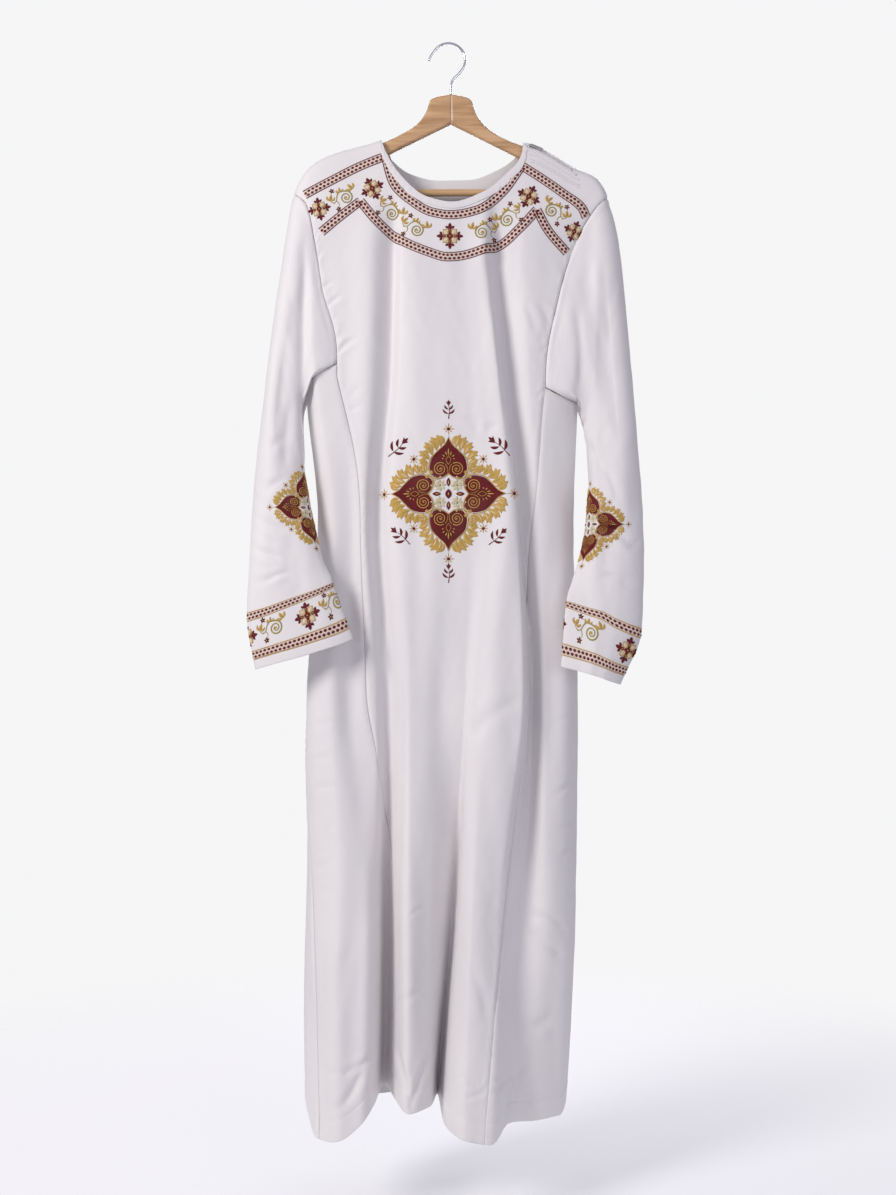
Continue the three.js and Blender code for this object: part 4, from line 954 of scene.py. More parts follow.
def lobe(foot, way, length, bend, height=0.95):
    """One lobe of a leaf: a wide almond with two barbs on either side and a vein along its middle, olive on
    lobes that bend one way and cream, a painted highlight, on those that bend the other.
    """
    way = np.asarray(way, float) / np.linalg.norm(way)
    side = left_of(way)
    drawing = [almond(foot, foot + way * length, length * 0.46, "gold", bend, height)]
    for sign in (1, -1):
        for share, reach, spread in ((0.14, 0.5, 0.8), (0.42, 0.44, 0.6)):
            start = foot + way * length * share
            barb = unit(way + side * sign * spread) * length * reach
            drawing.append(almond(start, start + barb, length * 0.22, "gold", -sign * 0.16, height + 0.12))
    # The cream vein on lobes bent one way is a painted highlight of the gold leaf.
    drawing.append(almond(foot + way * length * 0.08, foot + way * length * 0.74, length * 0.11,
                          "cream" if bend > 0 else "olive", bend, height + 0.4))
    return drawing


# Leaves beside a heart: share of its edge, length and lean.
CREST_LEAVES = [
    (0.36, 10, -0.2), (0.44, 14, 0.05), (0.52, 17, 0.25), (0.6, 21, 0.45),
    (0.68, 23, 0.6), (0.76, 23, 0.75), (0.84, 20, 0.9), (0.91, 14, 1.1),
]
# Sprigs round the medallion: angle from its top, reach and size.
SPRIGS = [
    (0, 127, 27), (0.83, 104, 40), (-0.83, 104, 38), (2.3, 98, 34), (-2.3, 96, 36), (math.pi, 120, 28),
]


def crest(side):
    """Leaves that hug one side of a heart from its widest part to its tip, and lean outwards and on."""
    edge = heart_outline(101)
    drawing = []
    for share, length, lean in CREST_LEAVES:
        k = int(share * 100)
        along = unit(edge[k + 1] - edge[k - 1])
        outward = np.array([along[1], -along[0]])
        foot = (edge[k] + outward * 1.2) * [side, 1]
        way = (outward * 0.9 + np.array([0, lean])) * [side, 1]
        drawing += lobe(foot, way, length, side * 0.12, 0.85 + 0.2 * (k % 16 < 8))
    return drawing


def heart_outline(steps=25):
    """The right half of a heart that stands on its notch: x and y from the notch, round the lobe, to the
    tip."""
    t = np.linspace(0, 1, steps)
    x = Curve([0, 0.1, 0.25, 0.45, 0.62, 0.8, 0.92, 1], [0, 8, 20, 29.5, 27, 14, 5.5, 0.1])(t)
    y = Curve([0, 0.1, 0.25, 0.45, 0.62, 0.8, 0.92, 1], [7, 1, -1, 14, 28, 43, 51, 61])(t)
    return np.stack([x, y], -1)


def heart():
    """A satin heart in two halves, with a gold edge, two scrolls, an almond and rays. The notch is at the
    origin."""
    edge = heart_outline()
    inner = edge * [0.97, 0.97] + [0, 0.8]
    drawing = []
    for side in (1, -1):
        spine = np.stack([0 * edge[:, 0] - side * 1.4, np.linspace(7.5, 60, len(edge))], -1)
        drawing.append((spine, inner * [side, 1], "burgundy", 1.0))
        drawing.append(ribbon_of(edge * [side, 1], 1.5, "gold", 1.5))
        drawing.append(ribbon_of(edge * [side * 1.08, 1.04] - [0, 1.6], 1.0, "blush", 0.9))
        start = math.pi * 0.5 + side * 0.6
        drawing.append(scroll((side * 12.5, 13.5), 10.2, start, -side * 2.1, 1.9, "gold", 2.0))
        drawing.append(stem([(side * 5, 21), (side * 1.6, 15), (side * 0.8, 5)], 1.3, "gold", 1.9))
        drawing.append(dot((side * 12.5, 13.5), 1.5, "gold", 2.1))
        for angle in (0.35, 0.85, 1.35):
            way = np.array([math.sin(angle) * side, math.cos(angle)])
            drawing.append(almond(way * 7 + [0, 27], way * (15 - 3.5 * angle) + [0, 27], 2.3, "gold", 0, 1.9))
    drawing.append(almond((0, 34), (0, 45), 2.6, "gold", 0, 2.0))
    drawing.append(almond((0, 20.5), (0, 33), 6.4, "burgundy", 0, 2.1))
    drawing.append(stem([(0, 33.5), (3.6, 27), (0, 20)], 1.0, "gold", 1.9, taper=False))
    drawing.append(stem([(0, 33.5), (-3.6, 27), (0, 20)], 1.0, "gold", 1.9, taper=False))
    return drawing


def sprig(size):
    """A small bud on a stem with paired leaves, all in burgundy."""
    drawing = [stem([(0, -0.5 * size), (0.05 * size, 0), (0, 0.3 * size)], 1.7, "burgundy", 0.8)]
    for side in (1, -1):
        for foot, reach, tilt in ((-0.22, 0.42, 0.9), (0.02, 0.34, 0.75)):
            way = np.array([side * math.sin(tilt), math.cos(tilt)]) * reach * size
            drawing.append(almond((0, foot * size), np.array([0, foot * size]) + way, 0.13 * size, "burgundy",
                                  -side * 0.14, 0.9))
        tip = (side * 0.14 * size, 0.46 * size)
        drawing.append(almond((0, 0.22 * size), tip, 0.1 * size, "burgundy", side * 0.12))
    drawing.append(almond((0, 0.22 * size), (0, 0.56 * size), 0.15 * size, "burgundy", 0, 1.0))
    return drawing


def quadrant_leaves():
    """Filigree between the hearts: a rosette of pale leaves round a knot, and leaves that grow away from
    the centre."""
    middle = np.array([0, 14.5])
    drawing = [dot(middle, 2.0, "olive", 1.1)]
    for k in range(8):
        way = np.array([math.sin(k * math.pi / 4), math.cos(k * math.pi / 4)])
        shade = "sage" if k % 2 else "cream"
        drawing.append(almond(middle + way * 2.2, middle + way * 9.8, 5.4, shade, 0.1, 0.8))
    for side in (1, -1):
        drawing.append(scroll((side * 6.5, 27), 3.6, -0.6 * side, side * 1.3, 1.3, "olive", 0.8, 16))
        drawing += lobe(np.array([side * 0.8, 42.0]), (side * 0.75, 1), 13, side * 0.14)
        drawing += lobe(np.array([side * 0.8, 49.0]), (side * 0.5, 1), 10, side * 0.14)
        drawing.append(dot((side * 9.5, 23), 1.5, "cream", 0.9))
    return drawing


def medallion(sprigs):
    """Four hearts round a lozenge, with leaf sprays beside each, stars at the eight tips and leaves
    between."""
    drawing = []
    for quarter in range(4):
        angle = -quarter * math.pi / 2
        arm = placed(heart(), (0, 24))
        for side in (1, -1):
            arm += placed(crest(side), (0, 24))
            arm.append(stem([(side * 15, 21), (side * 27, 27), (side * 33, 36)], 1.5, "gold", 0.8))
        arm.append(stem([(0, 84), (0.6, 88), (0, 93)], 1.2, "sage", 0.7))
        arm += placed(star(9), (0, 98))
        arm.append(almond((0, 11), (0, 24.5), 7.4, "burgundy", 0, 1.0))
        arm.append(almond((0, 13.5), (0, 21), 2.2, "gold", 0, 1.5))
        drawing += placed(arm, (0, 0), angle)
        corner = placed(quadrant_leaves(), (0, 4))
        corner.append(stem([(0, 28), (1.0, 45), (0, 66)], 1.2, "sage", 0.7))
        corner += placed(star(8.4), (0, 74))
        drawing += placed(corner, (0, 0), angle + math.pi / 4)
    drawing.append(almond((0, -7.5), (0, 7.5), 10.5, "burgundy", 0, 1.2))
    drawing.append(almond((0, -3), (0, 3), 2.4, "gold", 0, 1.8))
    if sprigs:
        for angle, reach, size in SPRIGS:
            at = (reach * math.sin(angle), reach * math.cos(angle))
            drawing += placed(sprig(size), at, angle if abs(angle) < 2 else angle + math.pi)
    return drawing


def cross():
    """An equal-armed cross: a lozenge, cream petals between the arms, and a three-lobed bud on each arm."""
    drawing = [almond((0, -7), (0, 7), 10.5, "burgundy", 0, 1.1), dot((0, 0), 1.4, "gold", 1.7)]
    for quarter in range(4):
        arm = [
            almond((0, 5), (0, 14), 5.6, "burgundy", 0, 0.9),
            almond((0, 11.5), (0, 21), 6.2, "burgundy", 0, 1.0),
            dot((0, 13.4), 3.0, "burgundy", 0.95),
            almond((0, 6.5), (0, 11.5), 1.6, "gold", 0, 1.5),
        ]
        petal = [almond((0, 3.6), (0, 14.6), 7.4, "cream", 0, 0.9)]
        for side in (1, -1):
            arm.append(almond((side * 0.8, 12.6), (side * 7, 16), 4.8, "burgundy", -side * 0.1, 0.95))
            petal.append(stem([(0, 3.6), (side * 4.7, 9), (0, 15)], 1.1, "gold", 1.0, taper=False))
        angle = quarter * math.pi / 2
        drawing += placed(arm, (0, 0), angle) + placed(petal, (0, 0), angle + math.pi / 4)
    return drawing


def floret(radius):
    """Five burgundy petals round a gold knot."""
    petals = [almond((0, 0), (radius * math.sin(a), radius * math.cos(a)), radius * 0.62, "burgundy", 0, 0.8)
              for a in round_angles(5)]
    return petals + [dot((0, 0), radius * 0.24, "gold", 1.2)]


def vine():
    """A scroll with a tail that leads on, two gold buds and two florets on stems."""
    drawing = [
        scroll((0, 0), 11.5, 1.2, -1.9, 2.9, "olive", 0.9), dot((0, 0), 2.2, "gold", 1.0),
        stem([(4, 10.8), (-7, 13.5), (-14, 8), (-18, 0), (-24, -3)], 3.1, "olive", 0.9, 18),
    ]
    for points in ([(9, 8), (14, 12), (17, 10)], [(-12, 9), (-13, 15), (-18, 17)],
                   [(-18, 0), (-15, -7), (-18, -13)], [(-22, -3), (-27, 1), (-29, 5)]):
        drawing.append(stem(points, 1.9, "olive"))
    for at, angle, size in (((15, 11), 0.5, 1.0), ((-28, 4), -0.5, 0.95), ((-7, 12), -0.1, 0.75)):
        bud = [almond((0, -1), (0, 12), 6.4, "gold", 0, 1.0), almond((0, 1), (0, 9), 1.5, "olive", 0, 1.5)]
        bud += [almond((0, 0), (side * 7.4, 8), 5.0, "gold", -side * 0.22, 0.9) for side in (1, -1)]
        drawing += placed(bud, at, angle, size)
    return drawing + placed(floret(5.0), (-20, 19)) + placed(floret(5.0), (-19, -15))


def checker_border(points, steps, line="burgundy"):
    """A pale band with two staggered rows of burgundy lozenges, between two thin lines."""
    points = np.asarray(points, float)
    runs = lengths(points, 0)
    total = runs[-1]
    curves = [Curve(runs, points[:, axis]) for axis in (0, 1)]

    def at(run, aside):
        line = np.stack([curve(run) for curve in curves], -1)
        way = unit(np.stack([curve(run + 0.5) - curve(run - 0.5) for curve in curves], -1))
        return line + left_of(way) * np.asarray(aside)[..., None]

    fine = np.linspace(0, total, steps)

    def strip(aside, width, thread, height):
        edges = (at(fine, np.full(steps, aside + sign * width / 2)) for sign in (1, -1))
        return *edges, thread, height

    drawing = [strip(0, 10.8, "blush", 0.35), strip(6.2, 1.4, line, 0.9), strip(-6.2, 1.4, line, 0.9)]
    pitch = total / max(1, round(total / 6.6))
    for row, shift in ((2.5, 0.25), (-2.5, 0.75)):
        for k in range(round(total / pitch)):
            run = (k + shift) * pitch
            ends = at(np.array([run - 2.8, run + 2.8]), np.array([row, row]))
            drawing.append(almond(ends[0], ends[1], 5.0, "burgundy", 0, 0.95, 5))
            knot = at(np.array([run + pitch / 2]), np.array([row]))[0]
            drawing.append(dot(knot, 0.75, "cream", 0.8))
    return drawing


def joined(*pieces):
    return [ribbon for piece in pieces for ribbon in piece]


# ---- finishes ----

class Link:
    """A socket's value in an expression: an operator on it adds the Math node."""

    def __init__(self, finish, socket):
        self.finish, self.socket = finish, socket

    def math(self, operation, *others):
        node = self.finish.node("ShaderNodeMath", {"operation": operation}, dict(enumerate([self, *others])))
        return Link(self.finish, node.outputs[0])

    def __add__(self, other):
        return self.math("ADD", other)

    def __mul__(self, other):
        return self.math("MULTIPLY", other)

    def __sub__(self, other):
        return self.math("SUBTRACT", other)

    def __rsub__(self, other):
        return (self * -1) + other

    __radd__ = __add__
    __rmul__ = __mul__

    def sine(self):
        return self.math("SINE")


class Finish:
    """A material under construction: its nodes, and the shader at its end."""

    def __init__(self, name, **constants):
        self.material = bpy.data.materials.new(name)
        self.material.use_nodes = True
        self.tree = self.material.node_tree
        self.tree.nodes.clear()
        self.shader = self.node("ShaderNodeBsdfPrincipled", {}, constants)
        output = self.node("ShaderNodeOutputMaterial", {}, {})
        self.tree.links.new(self.shader.outputs[0], output.inputs[0])

    def node(self, kind, settings, inputs):
        node = self.tree.nodes.new(kind)
        for name, value in settings.items():
            if name == "stops":
                self.set_stops(node.color_ramp, value)
            else:
                setattr(node, name, value)
        for key, value in inputs.items():
            key = key.replace("_", " ") if isinstance(key, str) else key
            if isinstance(value, Link):
                self.tree.links.new(value.socket, node.inputs[key])
            else:
                node.inputs[key].default_value = value
        return node

    def set_stops(self, ramp, stops):
        for k, (place, colour) in enumerate(stops):
            element = ramp.elements[k] if k < 2 else ramp.elements.new(place)
            element.position, element.color = place, (*colour, 1)

    def out(self, kind, output, settings, inputs):
        return Link(self, self.node(kind, settings, inputs).outputs[output])

    def noise(self, where, scale, detail=2.0):
        return self.out("ShaderNodeTexNoise", "Fac", {}, {"Vector": where, "Scale": scale, "Detail": detail})

    def place(self, output="Object"):
        return self.out("ShaderNodeTexCoord", output, {}, {})

    def ramp(self, factor, *stops):
        return self.out("ShaderNodeValToRGB", "Color", {"stops": stops}, {"Fac": factor})

    def stretched(self, vector, scale):
        return self.out("ShaderNodeMapping", "Vector", {}, {"Vector": vector, "Scale": scale})

    def separate(self, vector):
        node = self.node("ShaderNodeSeparateXYZ", {}, {"Vector": vector})
        return [Link(self, socket) for socket in node.outputs]

    def give(self, name, value):
        self.tree.links.new(value.socket, self.shader.inputs[name])

    def bump(self, height, distance, strength):
        self.give("Normal", self.out("ShaderNodeBump", "Normal", {},
                                     {"Height": height, "Distance": distance, "Strength": strength}))


def satin_cloth():
    """White satin: an even, faintly cool white with a fine twill and a soft sheen."""
    finish = Finish("white_satin", Roughness=0.5, Specular_IOR_Level=0.35, Sheen_Weight=0.15,
                    Sheen_Roughness=0.4)
    run = finish.place("UV")
    across, along, _ = finish.separate(run)
    twill = ((across * 7200) + (along * 2600)).sine() * 0.5 + 0.5
    slub = finish.noise(finish.stretched(run, (90, 900, 1)), 1.0, 3)
    shade = finish.noise(finish.place(), 7.0, 2)
    finish.give("Base Color", finish.ramp(shade, (0.3, (0.75, 0.725, 0.73)), (0.7, (0.785, 0.76, 0.755))))
    finish.bump(twill * 0.5 + slub, 0.00016, 0.6)
    return finish.material


UNEVEN_SHARE = 0.35                   # of a thread's tone, against its strands'


def thread(name, groove_shade, light):
    """Satin stitch: strands side by side across a ribbon, each painted lighter along its crown and darker
    between strands, a painted highlight and painted shade, with a bump of the same strands.
    """
    finish = Finish(name + "_thread", Roughness=0.5, Specular_IOR_Level=0.3)
    along, across, _ = finish.separate(finish.place("UV"))
    uneven = finish.noise(finish.place(), 900.0, 2)
    strand = ((along * 13960) + (across * 500) + uneven * 2.4).sine() * 0.5 + 0.5
    tone = strand * (1 - UNEVEN_SHARE) + uneven * UNEVEN_SHARE
    # Base colour runs from the strands' painted shade between them to their painted highlight on the crowns,
    # mixed with random unevenness.
    finish.give("Base Color", finish.ramp(tone, (0.15, groove_shade), (0.75, light)))
    finish.bump(strand, 0.00016, 0.8)
    return finish.material


def beech():
    """Lacquered beech: warm, with fine darker flecks and slow bands along the wood."""
    finish = Finish("lacquered_beech", Roughness=0.38, Coat_Weight=0.35, Coat_Roughness=0.2)
    grain = finish.noise(finish.stretched(finish.place(), (14, 260, 190)), 1.0, 4)
    bands = finish.noise(finish.stretched(finish.place(), (3, 60, 40)), 1.0, 2)
    tone = grain * 0.6 + bands * 0.4
    finish.give("Base Color", finish.ramp(tone, (0.3, (0.36, 0.19, 0.085)), (0.52, (0.60, 0.37, 0.19)),
                                          (0.75, (0.70, 0.47, 0.27))))
    finish.bump(grain, 0.0002, 0.4)
    return finish.material


def plated(name, colour, roughness):
    """Plated metal, with a faint smear in its polish."""
    finish = Finish(name, Base_Color=(*colour, 1), Metallic=1.0)
    smear = finish.noise(finish.place(), 60.0, 3)
    finish.give("Roughness", smear * 0.08 + roughness)
    return finish.material


CLOTH_FINISH = satin_cloth()
# Each thread's two colours are its painted shade between strands and its painted highlight along their
# crowns.
THREAD_FINISHES = {
    "burgundy": thread("burgundy", (0.05, 0.001, 0.002), (0.21, 0.008, 0.012)),
    "gold": thread("gold", (0.40, 0.23, 0.04), (0.74, 0.49, 0.14)),
    "olive": thread("olive", (0.26, 0.2, 0.04), (0.48, 0.41, 0.13)),
    "cream": thread("cream", (0.66, 0.5, 0.3), (0.88, 0.74, 0.53)),
    "sage": thread("sage", (0.42, 0.44, 0.24), (0.7, 0.7, 0.48)),
    "blush": thread("blush", (0.66, 0.53, 0.46), (0.86, 0.73, 0.64)),
    "white": CLOTH_FINISH,
}
BEECH = beech()
CHROME = plated("bright_chrome", (0.78, 0.79, 0.81), 0.1)
NICKEL = plated("nickel_plate", (0.62, 0.61, 0.59), 0.22)

# ---- the tunic's cloth ----

NECK_COLUMNS = (0.2, 0.897)           # share of the front's width where the neck's corners hang
BACK_NECK_COLUMNS = (0.22, 0.78)

front = Panel(FRONT_NECK, NECK_COLUMNS, ("front_right", "front_left"), -1, 72, 84, 262)
back = Panel(BACK_NECK, BACK_NECK_COLUMNS, ("back_right", "back_left"), 1, 54, 60, 190)
tunic_front = body_piece("tunic_front", front.points, sign=-1, flip=True, seed=31,
                         nodes=["front_panel_chest", "front_panel_waist", "front_panel_hem"])
tunic_back = body_piece("tunic_back", back.points, sign=1, flip=False, seed=41,
                        nodes=["back_panel_chest", "back_panel_waist", "back_panel_hem"])

gores, sleeves, sleeve_objects = {}, {}, {}
SLEEVE_STATIONS = np.unique(np.concatenate([
    [0, 0.012, 0.03, 0.06], np.linspace(0.1, 5.9, 150), np.linspace(5.95, 6.8, 22),
    [6.82, 6.83, 6.84, 6.85, 6.87, 6.9, 6.94, 6.97, 6.985, 7]]))
for side in ("right", "left"):
    points, shares = gore(side, f"front_{side}", f"back_{side}", 24, 190)
    gores[side] = body_piece(f"side_gore_of_{side}", points, sign=-1, flip=side == "left", seed=61,
                             nodes=[f"side_gore_{side}"], crown=True)
    sleeves[side] = Sleeve(side, front, back, points[:, 0], shares, 34, SLEEVE_STATIONS)
    sleeve_objects[side] = sleeve_piece(sleeves[side], side)

# ---- neck bands ----

BAND_WIDTH = 10.3
BAND_WALL = 0.9
LAY_GAP = 0.3


def neck_band(name, panel, flip, node):
    """A band on the panel along the neck's edge: its points are the panel's, moved out, with rounded edges
    and a line of stitching near each."""
    between, t = neck_columns(panel.neck, *panel.neck_ends, 150)
    x = np.concatenate([[panel.neck_ends[0]], between, [panel.neck_ends[1]]])
    z = np.concatenate([[ridge(x[0])], panel.neck(between), [ridge(x[-1])]])
    u = lerp(panel.u[panel.neck_first], panel.u[panel.neck_last], np.concatenate([[0], t, [1]]))
    drop = np.linspace(0, BAND_WIDTH, 27)
    points = panel.upper(x, z, u, drop, 0 * drop)
    normals = grid_normals(points, False, flip)
    edge = np.minimum(drop, BAND_WIDTH - drop)
    rise = LAY_GAP + BAND_WALL - 0.45 * np.exp(-(edge / 0.5) ** 2)
    rise -= 0.35 * np.exp(-((edge - 1.7) / 0.45) ** 2)
    puckers = 0.12 * wobble(lengths(points, 0), drop, 9, 14, 71, 6)
    outer = points + normals * (rise + puckers)[..., None]
    return dressed(shell(name, outer, normals, BAND_WALL - 0.1, CLOTH_FINISH, flip=flip), "cloth", node)


band_front = neck_band("neck_band_of_front", front, True, "neck_band_front")
band_back = neck_band("neck_band_of_back", back, False, "neck_band_back")

# ---- zip on the wearer's left shoulder ----

ZIP_SPAN = (118, 184)                 # x from the neck outwards
ZIP_DROP = 7.2                        # of its teeth, under the shoulder's ridge


def along_shoulder(drop, span=ZIP_SPAN, steps=40):
    """Points a drop under the shoulder's ridge."""
    x = np.linspace(*span, steps)
    return np.stack([x, ridge(x) - drop], -1)


def zip_drawing():
    """Two tapes, with a row of teeth that reach past each other between them, and the two lips of the
    placket."""
    drawing = []
    for drop in (5.2, 9.2):
        drawing.append(ribbon_of(along_shoulder(drop), 2.8, "white", 0.9))
    for drop, width in ((2.6, 3.2), (12.4, 3.6)):
        drawing.append(ribbon_of(along_shoulder(drop, (115, 190), 90), width, "white", 1.7))
    for drop, width in ((19, 1.3), (27, 1.6), (31, 1.0)):
        drawing.append(ribbon_of(along_shoulder(drop, (121, 194), 90), width, "white", 1.5))
    teeth = np.arange(ZIP_SPAN[0] + 8, ZIP_SPAN[1], 1.25)
    for k, x in enumerate(teeth):
        upper = k % 2 == 0
        ends = (ZIP_DROP - 1.6, ZIP_DROP + 0.5) if upper else (ZIP_DROP + 1.6, ZIP_DROP - 0.5)
        points = [(x, float(ridge(x)) - drop) for drop in ends]
        drawing.append(almond(*points, 1.1, "white", 0, 1.6, 5))
    return drawing


embroider("zip_tape_and_teeth", zip_drawing(), front_cloth, ["white"], "zip_tape")

# ---- slider and pull ----
# The slider's own frame: a point on the zip, the way along it from the neck, the way across, and the way out.

SLIDER_AT = np.array([123.947, -12.494, -157.237])
SLIDER_WAYS = np.array([
    [0.922895, 0.000176, -0.385052],
    [0.319627, 0.557281, 0.766340],
    [0.214716, -0.830324, 0.514255],
])


def in_slider_frame(points):
    """Points of the slider's own frame, where it lies on the shoulder."""
    return SLIDER_AT + points @ SLIDER_WAYS


def raised(flat, level):
    """Flat points at a height."""
    return np.concatenate([flat, np.full((len(flat), 1), level)], 1)


def stacked(name, rings, material, slot, *nodes):
    """A closed body through rings of points: walls between them and a cap at each end."""
    rings = np.asarray(rings)
    count, steps = rings.shape[:2]
    index = np.arange(count * steps).reshape(count, steps)
    nxt = np.roll(index, -1, 1)
    quads = np.stack([index[:-1], nxt[:-1], nxt[1:], index[1:]], -1).reshape(-1, 4)
    faces = quads.tolist() + [index[0, ::-1].tolist(), index[-1].tolist()]
    flat_faces = np.arange(len(faces)) >= len(quads)
    return dressed(make_object(name, rings.reshape(-1, 3), faces, [material], flat_faces), slot, *nodes)


def rounded_outline(length, width_from, width_to, corner, steps=48):
    """A plate's edge: a superellipse whose width changes evenly along it."""
    angle = round_angles(steps)
    x = np.sign(np.cos(angle)) * np.abs(np.cos(angle)) ** corner * length / 2
    half = lerp(width_from, width_to, x / length + 0.5) / 2
    y = np.sign(np.sin(angle)) * np.abs(np.sin(angle)) ** corner * half
    return np.stack([x, y], -1)


def pressed_plate(outline, foot, height, round_by):
    """Rings up a plate from its foot, drawn in at both ends by a quarter round."""
    rings = []
    for angle in map(math.radians, (-90, -60, -30, 0)):
        rings.append((foot + round_by * (1 + math.sin(angle)), round_by * (1 - math.cos(angle))))
    rings += [(2 * foot + height - level, inset) for level, inset in reversed(rings)]
    size = np.abs(outline).max(0)
    return np.stack([raised(outline * (1 - inset / size), level) for level, inset in rings])


slider_plate = pressed_plate(rounded_outline(11, 7, 4.6, 0.5), 0, 2.1, 0.5)
stacked("zip_slider_body", in_slider_frame(slider_plate), NICKEL, "nickel", "zip_slider")

CAP_TURNS = np.radians([30, 60, 82])  # rings of a tube's rounded end


def tube_rings(path, radius, steps, across=(0, 1, 0)):
    """Rings of a tube along a flat path: each is across its own stretch. The ends are rounded as half a
    ball."""
    path = np.asarray(path, float)
    way = unit(np.gradient(path, axis=0))
    side = unit(np.broadcast_to(np.asarray(across, float), way.shape))
    up = np.cross(way, side)
    angle = round_angles(steps)
    ring = side[:, None] * np.cos(angle)[:, None] + up[:, None] * np.sin(angle)[:, None]
    reach = np.broadcast_to(np.asarray(radius, float), (len(path),))
    rings = path[:, None] + ring * reach[:, None, None]
    caps = []
    for end, sign in ((0, -1), (-1, 1)):
        ahead, aside = sign * way[end] * reach[end], ring[end] * reach[end]
        caps.append([path[end] + ahead * math.sin(a) + aside * math.cos(a) for a in CAP_TURNS[::sign]])
    return np.concatenate([caps[0], rings, caps[1]])


def slider_crown():
    """The wire loop on the slider that holds its pull: a flattened half round."""
    t = np.linspace(0, math.pi, 15)
    crown = np.stack([-0.8 - 3.4 * np.cos(t), 0 * t, 1.6 + 2.0 * np.sin(t) ** 0.7], -1)
    rings = tube_rings(in_slider_frame(crown), 0.62, 10, SLIDER_WAYS[1])
    return stacked("zip_slider_crown", rings, NICKEL, "nickel")


slider_crown()


def pull_tab():
    """A flat tab round its hole: at each angle a rounded section runs from the hole's edge to the tab's."""
    hole_at, hole, steps = np.array([12.5, 0]), 1.5, 72
    angle = round_angles(steps)
    ray = np.stack([np.cos(angle), np.sin(angle)], -1)
    low, high, half = -3.5, 16.5, 2.5
    reach = np.full(steps, np.inf)
    for limit, axis in ((high, 0), (low, 0), (half, 1), (-half, 1)):
        gap = limit - hole_at[axis]
        meets = ray[:, axis] * gap > 1e-6
        hit = gap / np.where(meets, ray[:, axis], 1)
        reach = np.where(meets, np.minimum(reach, hit), reach)
    outer = hole_at + ray * reach[:, None]
    outer = np.stack([outer[:, 0], outer[:, 1] * (1 - 0.35 * smooth((2 - (outer[:, 0] - low)) / 3))], -1)
    foot, top, soft = 3.3, 4.5, 0.25
    rows = [
        (0, foot + soft), (0.04, foot), (0.96, foot), (1, foot + soft),
        (1, top - soft), (0.96, top), (0.04, top), (0, top - soft),
    ]
    inner = hole_at + ray * hole
    points = np.stack([raised(lerp(inner, outer, share), level) for share, level in rows], 1)
    index = np.arange(steps * len(rows)).reshape(steps, len(rows))
    along, up = np.roll(index, -1, 0), np.roll(index, -1, 1)
    faces = np.stack([index, up, np.roll(along, -1, 1), along], -1).reshape(-1, 4)
    places = in_slider_frame(points.reshape(-1, 3))
    thing = make_object("zip_pull_tab", places, faces[:, ::-1].tolist(), [NICKEL], np.ones(len(faces), bool))
    return dressed(thing, "nickel", "zip_pull", body="zip_pull")


pull_tab()

# ---- hanger and hook ----

STEM_X = 4                            # the joint between the arms, and the stem over it
ARM_HALF = 5.9                        # half an arm's thickness
UNDER_CLOTH = 2.8                     # from the cloth's outside down to the wood
# Tops of the arms up to the neck's corners, and their undersides, as x and z.
ARM_TOPS = {
    "right": [[4, -74], [-27, -82.5], [-32, -97], [-43, -115], [-73, -135.5], [-90, -143.5], [-101, -148.2]],
    "left": [[4, -74], [34, -82.5], [39, -97.6], [45, -110], [62, -128], [87, -142.5], [102, -148.5],
             [112, -152.2]],
}
ARM_BOTTOMS = {
    "right": [[4, -120], [-86, -164], [-150, -196], [-190, -231], [-219, -233]],
    "left": [[4, -120], [106, -171], [165, -201], [195, -231], [226, -233]],
}


def hanger_arm(side):
    """A loft of flat-sided sections with half-round tops and undersides, thinner towards the arm's end."""
    outward = -1 if side == "right" else 1
    rests = shoulder_columns(side, np.array([1, 2, 3, 4, 5]) / 6)[::-1]
    slope = (ridge(rests + 1) - ridge(rests - 1)) / 2
    seats = np.stack([rests, ridge(rests) - UNDER_CLOTH * np.hypot(1, slope)], -1)
    tops = np.array([*ARM_TOPS[side], *seats])
    top = Curve(outward * tops[:, 0], tops[:, 1])
    bottoms = np.array(ARM_BOTTOMS[side], float)
    bottom = Curve(outward * bottoms[:, 0], bottoms[:, 1])
    first, last = outward * STEM_X + SEAM_GAP, (outward * tops[:, 0]).max()
    run = np.concatenate([np.linspace(first, last - 6, 84), last - np.array([4, 2.4, 1.2, 0.5, 0])])
    high, low = top(run), bottom(run)
    end = 1 - 0.4 * smooth((run - last + 60) / 60)
    tip = np.sqrt(np.clip(1 - np.clip((run - last + 6) / 6, 0, 1) ** 2, 0.02, 1))
    middle = (high + low) / 2
    high, low = middle + (high - middle) * lerp(1, tip, 0.55), middle + (low - middle) * lerp(1, tip, 0.55)
    half = ARM_HALF * end * lerp(1, tip, 0.7)
    half = np.minimum(half, (high - low) / 2 * 0.98)
    angle = np.linspace(0, math.pi, 13)
    aside, rise = half[:, None] * np.cos(angle), half[:, None] * np.sin(angle)
    upper = np.stack([aside, (high - half)[:, None] + rise], -1)
    under = np.stack([-aside, (low + half)[:, None] - rise], -1)
    loop = np.concatenate([upper, under], 1)
    x = np.broadcast_to(outward * run[:, None, None], (*loop.shape[:2], 1))
    rings = np.concatenate([x, loop], -1)
    if side == "left":
        rings = rings[:, ::-1]
    return stacked(f"hanger_arm_of_{side}", rings[:, ::-1], BEECH, "wood", f"hanger_arm_{side}")


BAR_Z, BAR_SIDES = -222, 32
